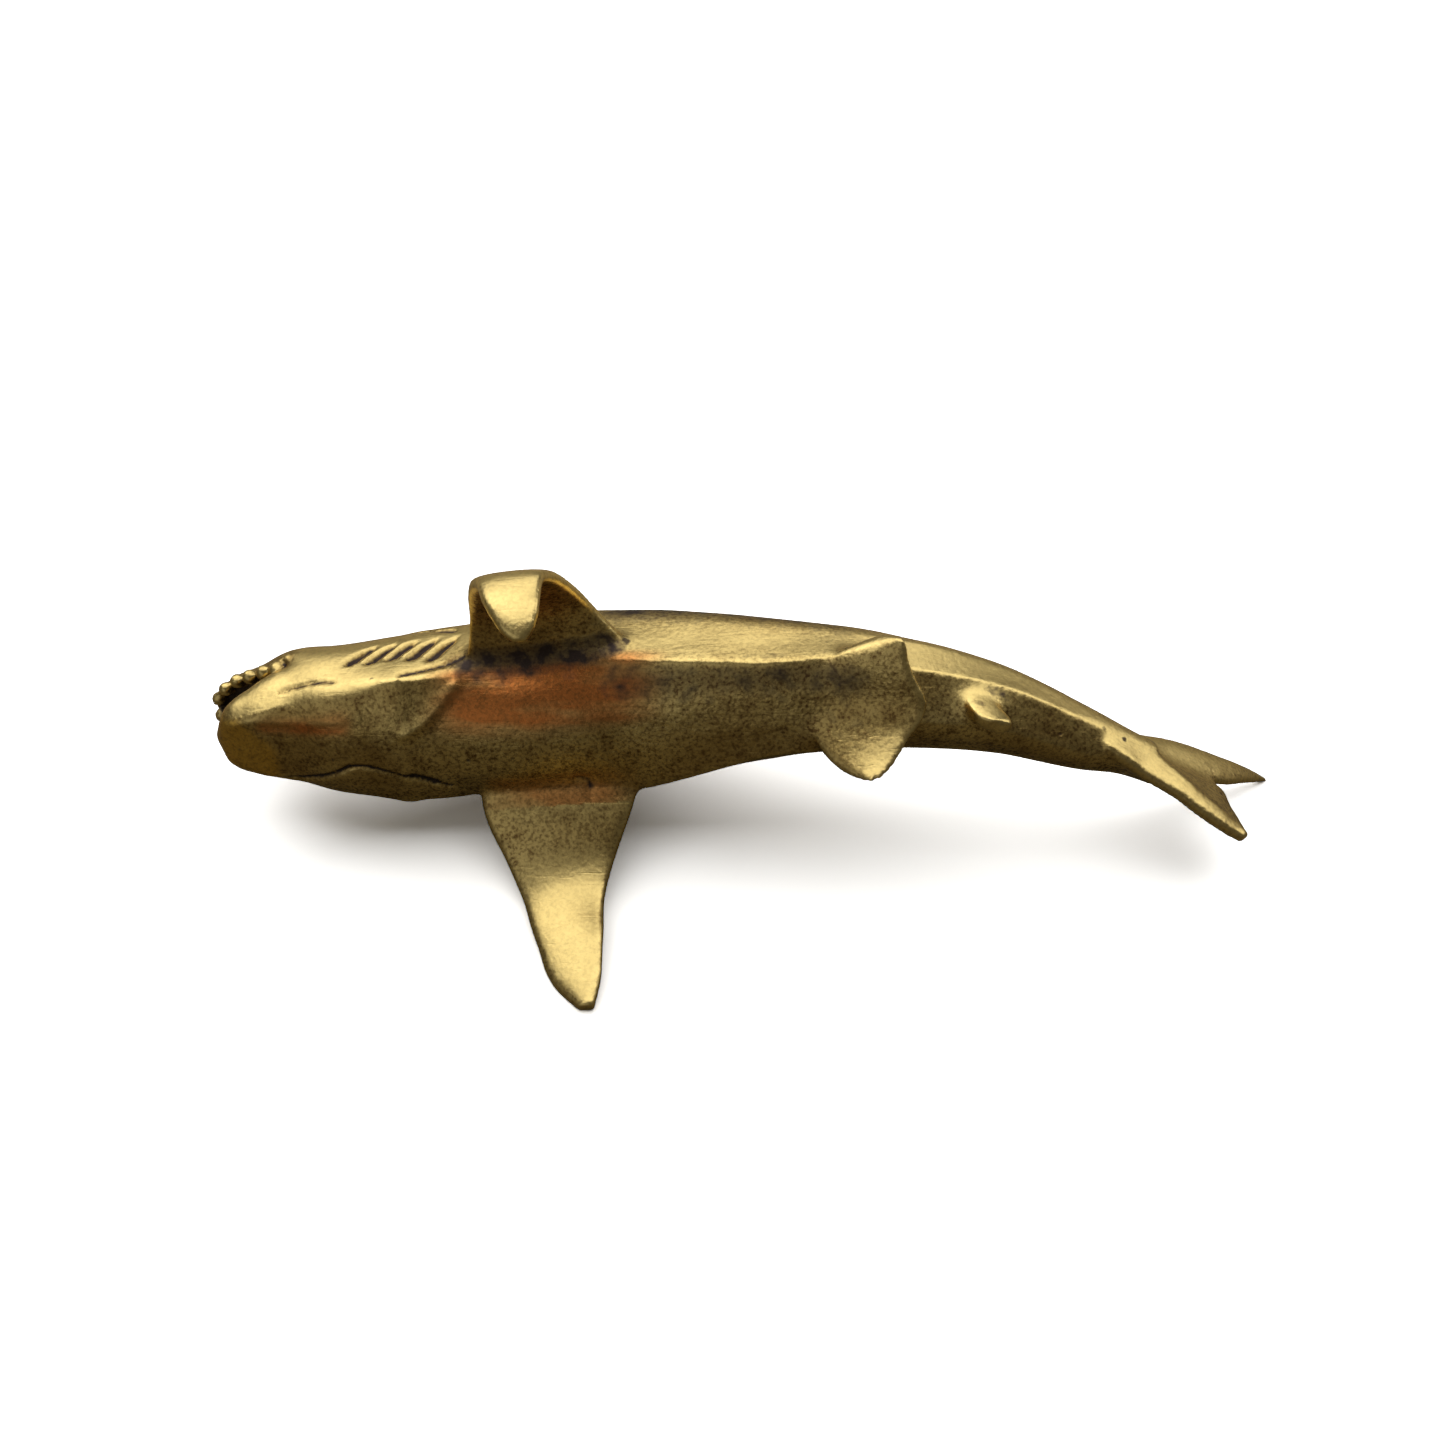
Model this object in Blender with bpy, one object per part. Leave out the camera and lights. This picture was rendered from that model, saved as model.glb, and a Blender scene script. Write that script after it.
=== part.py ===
"""Shark figurine: one solid brass casting that lies on its right side on a flat table.

Built in metres, +Z up. The snout points to -X and the belly to -Y and a little upward, so the
left side of the shark is on top. It rests on the tips of the right pectoral fin, the dorsal
fin and the tail.

A place on the shark is given by how far it lies behind the snout, how far to the shark's left
of its middle line, and how far toward its belly from that line.
"""
import bpy
import numpy as np

MM = 0.001

# Body
BODY_LENGTH = 69.0 * MM
TRUNK_RADIUS = 6.45 * MM
TRUNK_LIFT = 8.7 * MM
TAIL_RISE = 3.8 * MM
TAIL_SWAY = 5.2 * MM
BELLY_TURN = 18.0
TAIL_TWIST = 17.0
RIDGE_RISE = 0.05
RIDGE_ANGLE = 62.0

# Middle line in shares of the sizes above: along, sway, rise, twist, radius
SPINE = (
    (0.00, -0.33, -0.10, 0.0, 0.60),
    (0.15, -0.33, -0.05, 0.0, 0.85),
    (0.26, -0.12, -0.10, 0.0, 0.94),
    (0.38, 0.00, 0.00, 0.0, 1.00),
    (0.47, -0.04, 0.19, 0.2, 0.97),
    (0.59, -0.27, 0.70, 0.6, 0.80),
    (0.73, -0.52, 1.02, 0.8, 0.60),
    (0.83, -0.70, 0.84, 1.0, 0.48),
    (0.92, -0.86, 0.27, 0.9, 0.37),
    (0.96, -0.92, 0.02, 0.8, 0.28),
    (1.00, -1.00, -0.30, 0.8, 0.24),
)

# Head
HEAD_LENGTH = 12.5 * MM
SNOUT_DROP = 2.9 * MM
MOUTH_LENGTH = 7.0 * MM
MOUTH_HALF_WIDTH = 4.7 * MM
TOOTH_RADIUS = 0.5 * MM
TEETH_PER_SIDE = 9
GILLS = 5
GILL_X = 10.9 * MM
GILL_DEPTH = 0.5 * MM
GILL_WIDTH = 0.32 * MM
GILL_SPACING = 1.4 * MM
GILL_TOP = 72.0
GILL_BOTTOM = 108.0
EYE_RADIUS = 0.85 * MM

# Share of the head length, then shares of the body's radius there:
# toward belly, half width, depth to the back, depth to the belly
UPPER_HEAD = (
    (0.00, -0.75, 0.07, 0.07, 0.03),
    (0.04, -0.72, 0.25, 0.20, 0.07),
    (0.14, -0.60, 0.50, 0.34, 0.09),
    (0.34, -0.40, 0.74, 0.54, 0.11),
    (0.48, -0.24, 0.93, 0.74, 0.12),
    (0.59, -0.15, 1.00, 0.85, 0.15),
    (0.78, -0.02, 1.00, 0.94, 0.52),
    (0.92, 0.00, 0.99, 0.98, 0.89),
    (1.15, 0.00, 0.99, 0.99, 0.98),
    (1.35, 0.00, 0.98, 0.98, 0.98),
    (1.50, 0.00, 0.80, 0.80, 0.80),
)
LOWER_JAW = (
    (0.14, 0.52, 0.06, 0.05, 0.06),
    (0.17, 0.50, 0.28, 0.09, 0.19),
    (0.20, 0.49, 0.48, 0.12, 0.28),
    (0.24, 0.46, 0.60, 0.13, 0.34),
    (0.35, 0.33, 0.74, 0.16, 0.49),
    (0.61, 0.03, 0.90, 0.14, 0.77),
    (0.80, 0.00, 0.96, 0.27, 0.92),
    (1.04, 0.00, 0.98, 0.52, 0.98),
    (1.35, 0.00, 0.98, 0.50, 0.98),
    (1.50, 0.00, 0.80, 0.34, 0.80),
)

# Pectoral fins
PECTORAL_X = 20.2 * MM
PECTORAL_CHORD = 11.0 * MM
PECTORAL_THICKNESS = 1.7 * MM
RIGHT_REACH_SIDE = 14.9 * MM
RIGHT_REACH_BELLY = 17.1 * MM
LEFT_REACH_SIDE = 12.9 * MM
LEFT_REACH_BELLY = 15.2 * MM

# Shares: to the side, toward belly, front edge and back edge in chords
RIGHT_PECTORAL = (
    (0.26, 0.20, 0.00, 1.11),
    (0.44, 0.32, 0.06, 1.02),
    (0.61, 0.42, 0.19, 0.92),
    (0.73, 0.54, 0.30, 0.86),
    (0.84, 0.75, 0.43, 0.86),
    (0.95, 0.93, 0.58, 0.85),
    (1.00, 1.00, 0.72, 0.82),
)
LEFT_PECTORAL = (
    (0.30, 0.15, -0.06, 1.12),
    (0.48, 0.18, 0.00, 0.95),
    (0.70, 0.21, 0.04, 0.81),
    (0.90, 0.30, 0.14, 0.66),
    (1.00, 0.50, 0.22, 0.62),
    (1.00, 0.76, 0.35, 0.60),
    (0.94, 1.00, 0.48, 0.57),
)

# Dorsal fin
DORSAL_X = 18.0 * MM
DORSAL_HEIGHT = 17.9 * MM
DORSAL_CHORD = 13.0 * MM
DORSAL_THICKNESS = 2.2 * MM
DORSAL_LEAN = 9.5

# Shares: away from the middle line, front edge and back edge in chords
DORSAL = (
    (0.25, 0.00, 1.00),
    (0.45, 0.12, 0.88),
    (0.68, 0.27, 0.77),
    (0.88, 0.43, 0.71),
    (1.00, 0.55, 0.68),
)

# Pelvic fins
PELVIC_X = 43.2 * MM
PELVIC_HALF_SPAN = 5.2 * MM
PELVIC_CHORD = 8.5 * MM
PELVIC_THICKNESS = 1.1 * MM
PELVIC_FLARE = 1.1 * MM

# Shares: to the left, front edge and back edge in chords
PELVIC = (
    (-1.00, 0.56, 0.62),
    (-0.85, 0.37, 0.70),
    (-0.64, 0.20, 0.78),
    (-0.38, 0.09, 0.87),
    (-0.10, 0.02, 0.98),
    (0.12, 0.04, 1.00),
    (0.43, 0.12, 0.90),
    (0.64, 0.24, 0.85),
    (0.82, 0.50, 0.83),
    (0.96, 0.70, 0.80),
)

# Anal fin
ANAL_X = 55.8 * MM
ANAL_HEIGHT = 2.4 * MM
ANAL_LENGTH = 3.0 * MM
ANAL_THICKNESS = 2.4 * MM
ANAL_LEAN = 0.5 * MM

# Tail fin
TAIL_LENGTH = 13.0 * MM
TAIL_THICKNESS = 1.5 * MM

# Shares of the tail length, measured from where the body ends: along, away (+Y), up
TAIL_ROOT_X = 67.2 * MM
FAR_FRONT = ((-0.25, 0.10, 0.06), (0.14, 0.22, -0.11), (0.41, 0.27, -0.24), (0.75, 0.31, -0.45), (1.00, 0.34, -0.63))
FAR_BACK = ((-0.25, -0.03, 0.13), (0.14, 0.02, -0.10), (0.56, 0.06, -0.33), (0.80, 0.18, -0.48), (0.99, 0.32, -0.64))
NEAR_FRONT = ((-0.25, -0.10, 0.17), (0.06, -0.19, 0.06), (0.28, -0.26, -0.05), (0.47, -0.34, -0.16), (0.60, -0.40, -0.25))
NEAR_BACK = ((-0.25, 0.05, 0.10), (0.18, 0.04, -0.12), (0.56, 0.03, -0.33), (0.59, -0.16, -0.30), (0.62, -0.37, -0.27))

# Surface: grain of the melted form, triangles kept, and how deep the table cuts the tips
VOXEL = 0.25 * MM
KEEP = 0.088
FOOT_CUT = 0.12 * MM


def carry(rows, at):
    """Values of hand-chosen stations, carried smoothly between them by cubic pieces."""
    rows = np.asarray(rows, float)
    keys = rows[:, 0]
    values = rows[:, 1:]
    step = np.diff(keys)[:, None]
    slope = np.diff(values, axis=0) / step
    inner = (slope[:-1] * step[1:] + slope[1:] * step[:-1]) / (step[1:] + step[:-1])
    slopes = np.vstack([slope[:1], inner, slope[-1:]])
    at = np.clip(np.asarray(at, float), keys[0], keys[-1])
    i = np.clip(np.searchsorted(keys, at, side="right") - 1, 0, len(keys) - 2)
    width = step[i]
    t = (at[:, None] - keys[i][:, None]) / width
    ahead = 3 * t**2 - 2 * t**3
    return (
        (1 - ahead) * values[i]
        + ahead * values[i + 1]
        + (t**3 - 2 * t**2 + t) * width * slopes[i]
        + (t**3 - t**2) * width * slopes[i + 1]
    )


def axis(x):
    """Middle line at distances x behind the snout: points, left and belly directions, radii."""
    x = np.asarray(x, float)
    sway, rise, twist, girth = carry(SPINE, x / BODY_LENGTH).T
    turn = np.radians(BELLY_TURN + TAIL_TWIST * twist)
    points = np.stack([x, TAIL_SWAY * sway, TRUNK_LIFT + TAIL_RISE * rise], 1)
    zero = np.zeros_like(turn)
    left = np.stack([zero, np.sin(turn), np.cos(turn)], 1)
    belly = np.stack([zero, -np.cos(turn), np.sin(turn)], 1)
    return points, left, belly, TRUNK_RADIUS * girth


def place(x, left, belly):
    """World points from distances behind the snout, to the left and toward the belly."""
    x, left, belly = np.broadcast_arrays(x, left, belly)
    points, to_left, to_belly, _ = axis(x.ravel())
    world = points + left.ravel()[:, None] * to_left + belly.ravel()[:, None] * to_belly
    return world.reshape(x.shape + (3,))


def unit(vectors):
    """Vectors of length one."""
    return vectors / np.linalg.norm(vectors, axis=-1, keepdims=True)


def skin(rings):
    """Points and faces of a closed form: rings joined side to side, each end closed by a fan."""
    count, around, _ = rings.shape
    points = np.vstack([rings.reshape(-1, 3), rings[0].mean(0), rings[-1].mean(0)])
    row, column = np.meshgrid(np.arange(count - 1), np.arange(around), indexing="ij")
    a = row * around + column
    b = row * around + (column + 1) % around
    quads = np.stack([a, b, b + around, a + around], -1).reshape(-1, 4)
    side = np.arange(around)
    after = (side + 1) % around
    last = (count - 1) * around
    start = np.stack([np.full(around, count * around), after, side], 1)
    end = np.stack([np.full(around, count * around + 1), last + side, last + after], 1)
    corners = points[quads] - points.mean(0)
    inside_out = np.einsum("ij,ij->", corners[:, 0], np.cross(corners[:, 1], corners[:, 2])) < 0
    faces = quads.tolist() + start.tolist() + end.tolist()
    return points, [face[::-1] for face in faces] if inside_out else faces


def slit(x, left, belly):
    """Sinks the gill slits into a surface; gives back its places to the left and toward the belly."""
    off = np.degrees(np.arctan2(np.abs(left), belly))
    slant = np.radians(off - GILL_TOP) * TRUNK_RADIUS * 0.6
    cut = 0
    for k in range(GILLS):
        away = x - (GILL_X + k * GILL_SPACING + slant)
        cut = cut + np.exp(-((away / GILL_WIDTH) ** 2))
    fade = np.clip((off - GILL_TOP) / 6, 0, 1) * np.clip((GILL_BOTTOM - off) / 6, 0, 1)
    radius = np.hypot(left, belly)
    keep = 1 - GILL_DEPTH * cut * fade / np.maximum(radius, MM)
    return left * keep, belly * keep


def head_form(rows, back_power, belly_power, stations=60, around=64):
    """A jaw: rings squarer than round by the powers below 1, turning round toward the body."""
    share = rows[0][0] + (rows[-1][0] - rows[0][0]) * (1 - np.cos(np.linspace(0, np.pi, stations))) / 2
    x = share * HEAD_LENGTH
    shift, width, back, belly = (carry(rows, share).T * axis(x)[3])[:, :, None]
    angle = np.linspace(0, 2 * np.pi, around, endpoint=False)[None, :]
    low = np.sin(angle) > 0
    square = np.clip((0.95 - share[:, None]) / 0.35, 0, 1)
    power = 1 - square * (1 - np.where(low, belly_power, back_power))
    across = np.sign(np.cos(angle)) * np.abs(np.cos(angle)) ** power
    deep = np.sign(np.sin(angle)) * np.abs(np.sin(angle)) ** power
    x = np.broadcast_to(x[:, None], (stations, around))
    return skin(place(x, *slit(x, width * across, shift + np.where(low, belly, back) * deep)))


def body_form(stations=260, around=120):
    """The body behind the mouth, with its belly ridges and gill slits."""
    start = HEAD_LENGTH
    x = np.linspace(start, BODY_LENGTH, stations)
    radius = axis(x)[3] * np.sqrt(np.clip((x - start) / (0.3 * HEAD_LENGTH), 0.01, 1))
    angle = np.linspace(0, 2 * np.pi, around, endpoint=False)[None, :]
    off = np.degrees(np.abs((angle + np.pi) % (2 * np.pi) - np.pi))
    along = x[:, None] / BODY_LENGTH
    ridge = np.exp(-(((off - RIDGE_ANGLE) / 13.0) ** 2))
    ridge_here = np.clip((along - 0.42) / 0.06, 0, 1) * np.clip((0.68 - along) / 0.08, 0, 1)
    r = radius[:, None] * (1 + RIDGE_RISE * ridge * ridge_here)
    x = np.broadcast_to(x[:, None], r.shape)
    return skin(place(x, *slit(x, r * np.sin(angle), r * np.cos(angle))))


def blade(front, back, normal, thickness, around=32):
    """A fin between its front and back edge curves, lens-shaped across."""
    angle = np.linspace(0, 2 * np.pi, around, endpoint=False)[None, :, None]
    middle = (front + back)[:, None, :] / 2
    half = (back - front)[:, None, :] / 2
    swell = np.sign(np.sin(angle)) * np.abs(np.sin(angle)) ** 0.8
    rings = middle - half * np.cos(angle) + unit(normal)[:, None, :] * thickness[:, None, None] / 2 * swell
    return skin(rings)


def pectoral(rows, side_reach, belly_reach, steps=60):
    """A pectoral fin carried along its arched path."""
    rows = np.asarray(rows)
    side, belly = rows[:, 0] * side_reach, rows[:, 1] * belly_reach
    reach = np.concatenate([[0], np.cumsum(np.hypot(np.diff(side), np.diff(belly)))])
    at = np.linspace(0, reach[-1], steps)
    edges = PECTORAL_X + rows[:, 2:] * PECTORAL_CHORD
    side, belly, front, back = carry(np.column_stack([reach, side, belly, edges]), at).T
    middle = (front + back) / 2
    out_side, out_belly = np.gradient(side), np.gradient(belly)
    normal = place(middle, side - out_belly, belly + out_side) - place(middle, side, belly)
    thickness = PECTORAL_THICKNESS * (1 - 0.5 * at / reach[-1])
    return blade(place(front, side, belly), place(back, side, belly), normal, thickness)


def dorsal(steps=40):
    """The dorsal fin, leaning so that its tip meets the table."""
    share = np.linspace(DORSAL[0][0], DORSAL[-1][0], steps)
    front, back = DORSAL_X + carry(DORSAL, share).T * DORSAL_CHORD
    lean = np.radians(DORSAL_LEAN) * share
    side = -share * DORSAL_HEIGHT * np.sin(lean)
    belly = -share * DORSAL_HEIGHT * np.cos(lean)
    middle = (front + back) / 2
    normal = place(middle, side + MM, belly) - place(middle, side, belly)
    return blade(place(front, side, belly), place(back, side, belly), normal, DORSAL_THICKNESS * (1.1 - 0.6 * share))


def pelvic(steps=50):
    """The joined pelvic fins, from the right tip across the belly to the left tip."""
    share = np.linspace(PELVIC[0][0], PELVIC[-1][0], steps)
    front, back = PELVIC_X + carry(PELVIC, share).T * PELVIC_CHORD
    middle = (front + back) / 2
    side = share * PELVIC_HALF_SPAN
    belly = axis(middle)[3] * 0.8
    normal = place(middle, side, belly + MM) - place(middle, side, belly)
    trail = place(back, side, belly + PELVIC_FLARE)
    return blade(place(front, side, belly), trail, normal, np.full(steps, PELVIC_THICKNESS))


def anal(steps=20):
    """The small anal fin, swept back and leaning to the left."""
    share = np.linspace(0, 1, steps)
    x = np.full(steps, ANAL_X)
    out = axis(x)[3] * 0.7 + share * ANAL_HEIGHT
    side = np.full(steps, ANAL_LEAN)
    front = x + ANAL_LENGTH * (share * 0.95 - 0.5)
    back = x + ANAL_LENGTH * (share * 0.4 + 0.4)
    normal = place(x, side + MM, out) - place(x, side, out)
    return blade(place(front, side, out), place(back, side, out), normal, ANAL_THICKNESS * (1 - 0.6 * share))


def tail_lobe(front, back, steps=40):
    """One lobe of the tail fin between the curves of its edges."""
    at = np.linspace(0, 1, steps)
    keys = np.linspace(0, 1, len(front))
    root = axis([TAIL_ROOT_X])[0]
    lead = root + TAIL_LENGTH * carry(np.column_stack([keys, front]), at)
    trail = root + TAIL_LENGTH * carry(np.column_stack([keys, back]), at)
    normal = np.cross(np.gradient((lead + trail) / 2, axis=0), trail - lead)
    return blade(lead, trail, normal, TAIL_THICKNESS * (1 - 0.45 * at))


def ball(x, left, belly, radius, stretch=1.0):
    """A small ball on the head, for a tooth or an eye."""
    polar = np.linspace(0.05, np.pi - 0.05, 10)[:, None]
    angle = np.linspace(0, 2 * np.pi, 14, endpoint=False)[None, :]
    along = radius * np.sin(polar) * np.cos(angle)
    across = radius * np.sin(polar) * np.sin(angle)
    return skin(place(np.maximum(x + along, 0.0), left + across, belly + stretch * radius * np.cos(polar)))


def teeth():
    """Bead-like teeth along the rim of the upper jaw, both sides of the snout."""
    made = []
    for k in range(TEETH_PER_SIDE):
        share = ((k + 0.5) / TEETH_PER_SIDE) ** 1.25
        half = MOUTH_HALF_WIDTH * share**0.6
        rim = (0.92 * share - 0.95) * SNOUT_DROP
        for sign in (-1, 1):
            made.append(ball(MOUTH_LENGTH * share + TOOTH_RADIUS / 2, sign * half, rim, TOOTH_RADIUS, 1.25))
    return made


def eyes():
    """A plain round eye on each side of the head."""
    x = 0.5 * HEAD_LENGTH
    shift, half, back, _ = carry(UPPER_HEAD, [0.5])[0] * axis([x])[3]
    return [ball(x, sign * half * 0.52, shift - back * 0.74, EYE_RADIUS) for sign in (-1, 1)]


def melt(forms):
    """One skin over all the forms, softened like a casting, with few enough triangles."""
    points, faces, start = [], [], 0
    for form_points, form_faces in forms:
        points.append(form_points)
        faces += [[corner + start for corner in face] for face in form_faces]
        start += len(form_points)
    mesh = bpy.data.meshes.new("shark_figurine")
    mesh.from_pydata(np.vstack(points).tolist(), [], faces)
    shark = bpy.data.objects.new("shark_figurine", mesh)
    bpy.context.scene.collection.objects.link(shark)
    join = shark.modifiers.new("join", "REMESH")
    join.mode = "VOXEL"
    join.voxel_size = VOXEL
    soften = shark.modifiers.new("soften", "SMOOTH")
    soften.factor = 0.5
    soften.iterations = 2
    thin = shark.modifiers.new("thin", "DECIMATE")
    thin.ratio = KEEP
    return shark


def freeze(shark):
    """Replaces the object's mesh by what its modifiers make of it."""
    graph = bpy.context.evaluated_depsgraph_get()
    mesh = bpy.data.meshes.new_from_object(shark.evaluated_get(graph))
    shark.modifiers.clear()
    shark.data = mesh
    return mesh


def set_down(shark):
    """Sets the shark on the table, centred, and trims its resting tips flat."""
    mesh = freeze(shark)
    points = np.empty(len(mesh.vertices) * 3)
    mesh.vertices.foreach_get("co", points)
    points = points.reshape(-1, 3)
    low, high = points.min(0), points.max(0)
    points -= [(low[0] + high[0]) / 2, (low[1] + high[1]) / 2, low[2] + FOOT_CUT]
    mesh.vertices.foreach_set("co", points.ravel())
    half = BODY_LENGTH
    corners = [(x, y, z) for z in (-half, 0.0) for y in (-half, half) for x in (-half, half)]
    sides = [(0, 2, 3, 1), (4, 5, 7, 6), (0, 1, 5, 4), (2, 6, 7, 3), (0, 4, 6, 2), (1, 3, 7, 5)]
    table_mesh = bpy.data.meshes.new("table")
    table_mesh.from_pydata(corners, [], sides)
    table = bpy.data.objects.new("table", table_mesh)
    bpy.context.scene.collection.objects.link(table)
    trim = shark.modifiers.new("trim", "BOOLEAN")
    trim.object = table
    trim.operation = "DIFFERENCE"
    trim.solver = "EXACT"
    freeze(shark)
    bpy.data.objects.remove(table)


def brass():
    """Cast brass."""
    material = bpy.data.materials.new("cast_brass")
    material.use_nodes = True
    shader = material.node_tree.nodes["Principled BSDF"]
    shader.inputs["Base Color"].default_value = (0.60, 0.42, 0.13, 1.0)
    shader.inputs["Metallic"].default_value = 1.0
    shader.inputs["Roughness"].default_value = 0.32
    return material


def main():
    for old in list(bpy.data.objects):
        bpy.data.objects.remove(old)
    forms = [
        body_form(),
        head_form(UPPER_HEAD, 1.0, 0.55),
        head_form(LOWER_JAW, 0.5, 1.0),
        pectoral(RIGHT_PECTORAL, -RIGHT_REACH_SIDE, RIGHT_REACH_BELLY),
        pectoral(LEFT_PECTORAL, LEFT_REACH_SIDE, LEFT_REACH_BELLY),
        dorsal(),
        pelvic(),
        anal(),
        tail_lobe(FAR_FRONT, FAR_BACK),
        tail_lobe(NEAR_FRONT, NEAR_BACK),
    ]
    shark = melt(forms + teeth() + eyes())
    set_down(shark)
    shark.data.materials.clear()
    shark.data.materials.append(brass())
    shark.data.polygons.foreach_set("use_smooth", np.ones(len(shark.data.polygons), bool))


main()
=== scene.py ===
"""Shark figurine in cast brass: the finished look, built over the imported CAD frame.

The shark is one casting. Its body, jaws, fins, tail, teeth and eyes are closed surfaces worked out
along one bent middle line. They are melted into one skin, which then gets its relief, the tones that
say where it is worn, dark or tinted, and its finish.
"""

import logging
from dataclasses import dataclass
from enum import Enum
from functools import partial

import bpy
import numpy as np
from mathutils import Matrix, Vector


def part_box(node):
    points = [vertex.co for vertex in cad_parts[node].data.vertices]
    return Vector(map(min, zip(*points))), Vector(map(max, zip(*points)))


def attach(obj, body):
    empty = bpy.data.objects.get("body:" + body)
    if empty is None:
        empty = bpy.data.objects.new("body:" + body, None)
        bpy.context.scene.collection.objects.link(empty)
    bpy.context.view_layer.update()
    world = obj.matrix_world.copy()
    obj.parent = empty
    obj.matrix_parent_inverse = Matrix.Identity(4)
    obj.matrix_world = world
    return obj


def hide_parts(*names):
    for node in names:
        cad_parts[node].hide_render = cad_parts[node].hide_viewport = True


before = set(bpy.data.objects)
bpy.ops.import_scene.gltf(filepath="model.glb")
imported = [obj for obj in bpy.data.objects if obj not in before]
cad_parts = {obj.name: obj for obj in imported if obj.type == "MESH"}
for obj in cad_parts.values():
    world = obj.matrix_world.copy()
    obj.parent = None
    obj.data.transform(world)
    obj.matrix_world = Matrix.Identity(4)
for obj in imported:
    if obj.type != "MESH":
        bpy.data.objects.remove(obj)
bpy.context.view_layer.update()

log = logging.getLogger("shark")
logging.basicConfig(level=logging.INFO, format="%(message)s")

MM = 0.001
NODE = "shark_figurine"
Socket = bpy.types.NodeSocket


class Side(Enum):
    """The two sides of the shark, as signs of the distance to its left."""

    LEFT = 1
    RIGHT = -1


@dataclass
class Form:
    """A closed surface: its points, and the corner numbers of its quads and of its end fans."""

    points: np.ndarray
    quads: np.ndarray
    fans: np.ndarray


def carry(rows: tuple | np.ndarray, at: np.ndarray) -> np.ndarray:
    """Carries given stations smoothly between them, by one cubic piece from each to the next.

    Args:
        rows: Stations, each a key followed by its values.
        at: Keys at which values are wanted.

    Returns:
        One row of values for each key.
    """
    rows = np.asarray(rows, float)
    keys, values = rows[:, 0], rows[:, 1:]
    step = np.diff(keys)[:, None]
    slope = np.diff(values, axis=0) / step
    inner = (slope[:-1] * step[1:] + slope[1:] * step[:-1]) / (step[1:] + step[:-1])
    slopes = np.vstack([slope[:1], inner, slope[-1:]])
    at = np.clip(np.asarray(at, float), keys[0], keys[-1])
    i = np.clip(np.searchsorted(keys, at, side="right") - 1, 0, len(keys) - 2)
    width = step[i]
    t = (at[:, None] - keys[i][:, None]) / width
    ahead = 3 * t**2 - 2 * t**3
    return (
        (1 - ahead) * values[i]
        + ahead * values[i + 1]
        + (t**3 - 2 * t**2 + t) * width * slopes[i]
        + (t**3 - t**2) * width * slopes[i + 1]
    )


def fade(value: np.ndarray, start: float, end: float) -> np.ndarray:
    """A smooth step from 0 at start to 1 at end, 3 t ** 2 - 2 t ** 3; start may be above end."""
    t = np.clip((np.asarray(value, float) - start) / (end - start), 0, 1)
    return t * t * (3 - 2 * t)


def between(value: np.ndarray, span: tuple) -> np.ndarray:
    """A smooth plateau: 0 before and after the four values of the span, 1 between its middle two."""
    return fade(value, span[0], span[1]) * fade(value, span[3], span[2])


def bump(value: np.ndarray, centre: float, width: float) -> np.ndarray:
    """A smooth hump of height 1 at the centre: exp(-(distance / width) ** 2)."""
    return np.exp(-(((value - centre) / width) ** 2))


def peak(value: np.ndarray, centre: np.ndarray, width: float) -> np.ndarray:
    """A pointed hump of height 1 at the centre: (1 - distance / width) ** 2."""
    return np.clip(1 - np.abs(value - centre) / width, 0, 1) ** 2


def unit(vectors: np.ndarray) -> np.ndarray:
    """The same directions with length one."""
    return vectors / np.maximum(np.linalg.norm(vectors, axis=-1, keepdims=True), 1e-12)


def power_wave(wave: np.ndarray, power: float | np.ndarray) -> np.ndarray:
    """A sine or cosine raised to a power with its sign kept: squarer than round below power 1."""
    return np.sign(wave) * np.abs(wave) ** power


def around(count: int) -> np.ndarray:
    """Angles once round a ring, as one row."""
    return np.linspace(0, 2 * np.pi, count, endpoint=False)[None, :]


def gathered(first: float, last: float, steps: int) -> np.ndarray:
    """Values from first to last that stand closer together at both ends, by a cosine."""
    return first + (last - first) * (1 - np.cos(np.linspace(0, np.pi, steps))) / 2


def off_belly(left: np.ndarray, belly: np.ndarray) -> np.ndarray:
    """Degrees round the body from the belly toward the left."""
    return np.degrees(np.arctan2(left, belly))


def skin(rings: np.ndarray) -> Form:
    """Joins rings side to side into a closed form and closes each end with a fan of triangles.

    Args:
        rings: Points of all rings, as rings by points by three.

    Returns:
        The closed form, with its faces turned outward.
    """
    count, size, _ = rings.shape
    points = np.vstack([rings.reshape(-1, 3), rings[0].mean(0), rings[-1].mean(0)])
    row, column = np.meshgrid(np.arange(count - 1), np.arange(size), indexing="ij")
    a = row * size + column
    b = row * size + (column + 1) % size
    quads = np.stack([a, b, b + size, a + size], -1).reshape(-1, 4)
    side = np.arange(size)
    after = (side + 1) % size
    last = (count - 1) * size
    start = np.stack([np.full(size, count * size), after, side], 1)
    end = np.stack([np.full(size, count * size + 1), last + side, last + after], 1)
    corners = points[quads] - points.mean(0)
    inward = np.einsum("ij,ij->", corners[:, 0], np.cross(corners[:, 1], corners[:, 2])) < 0
    turn = -1 if inward else 1
    return Form(points, quads[:, ::turn], np.vstack([start, end])[:, ::turn])


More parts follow.
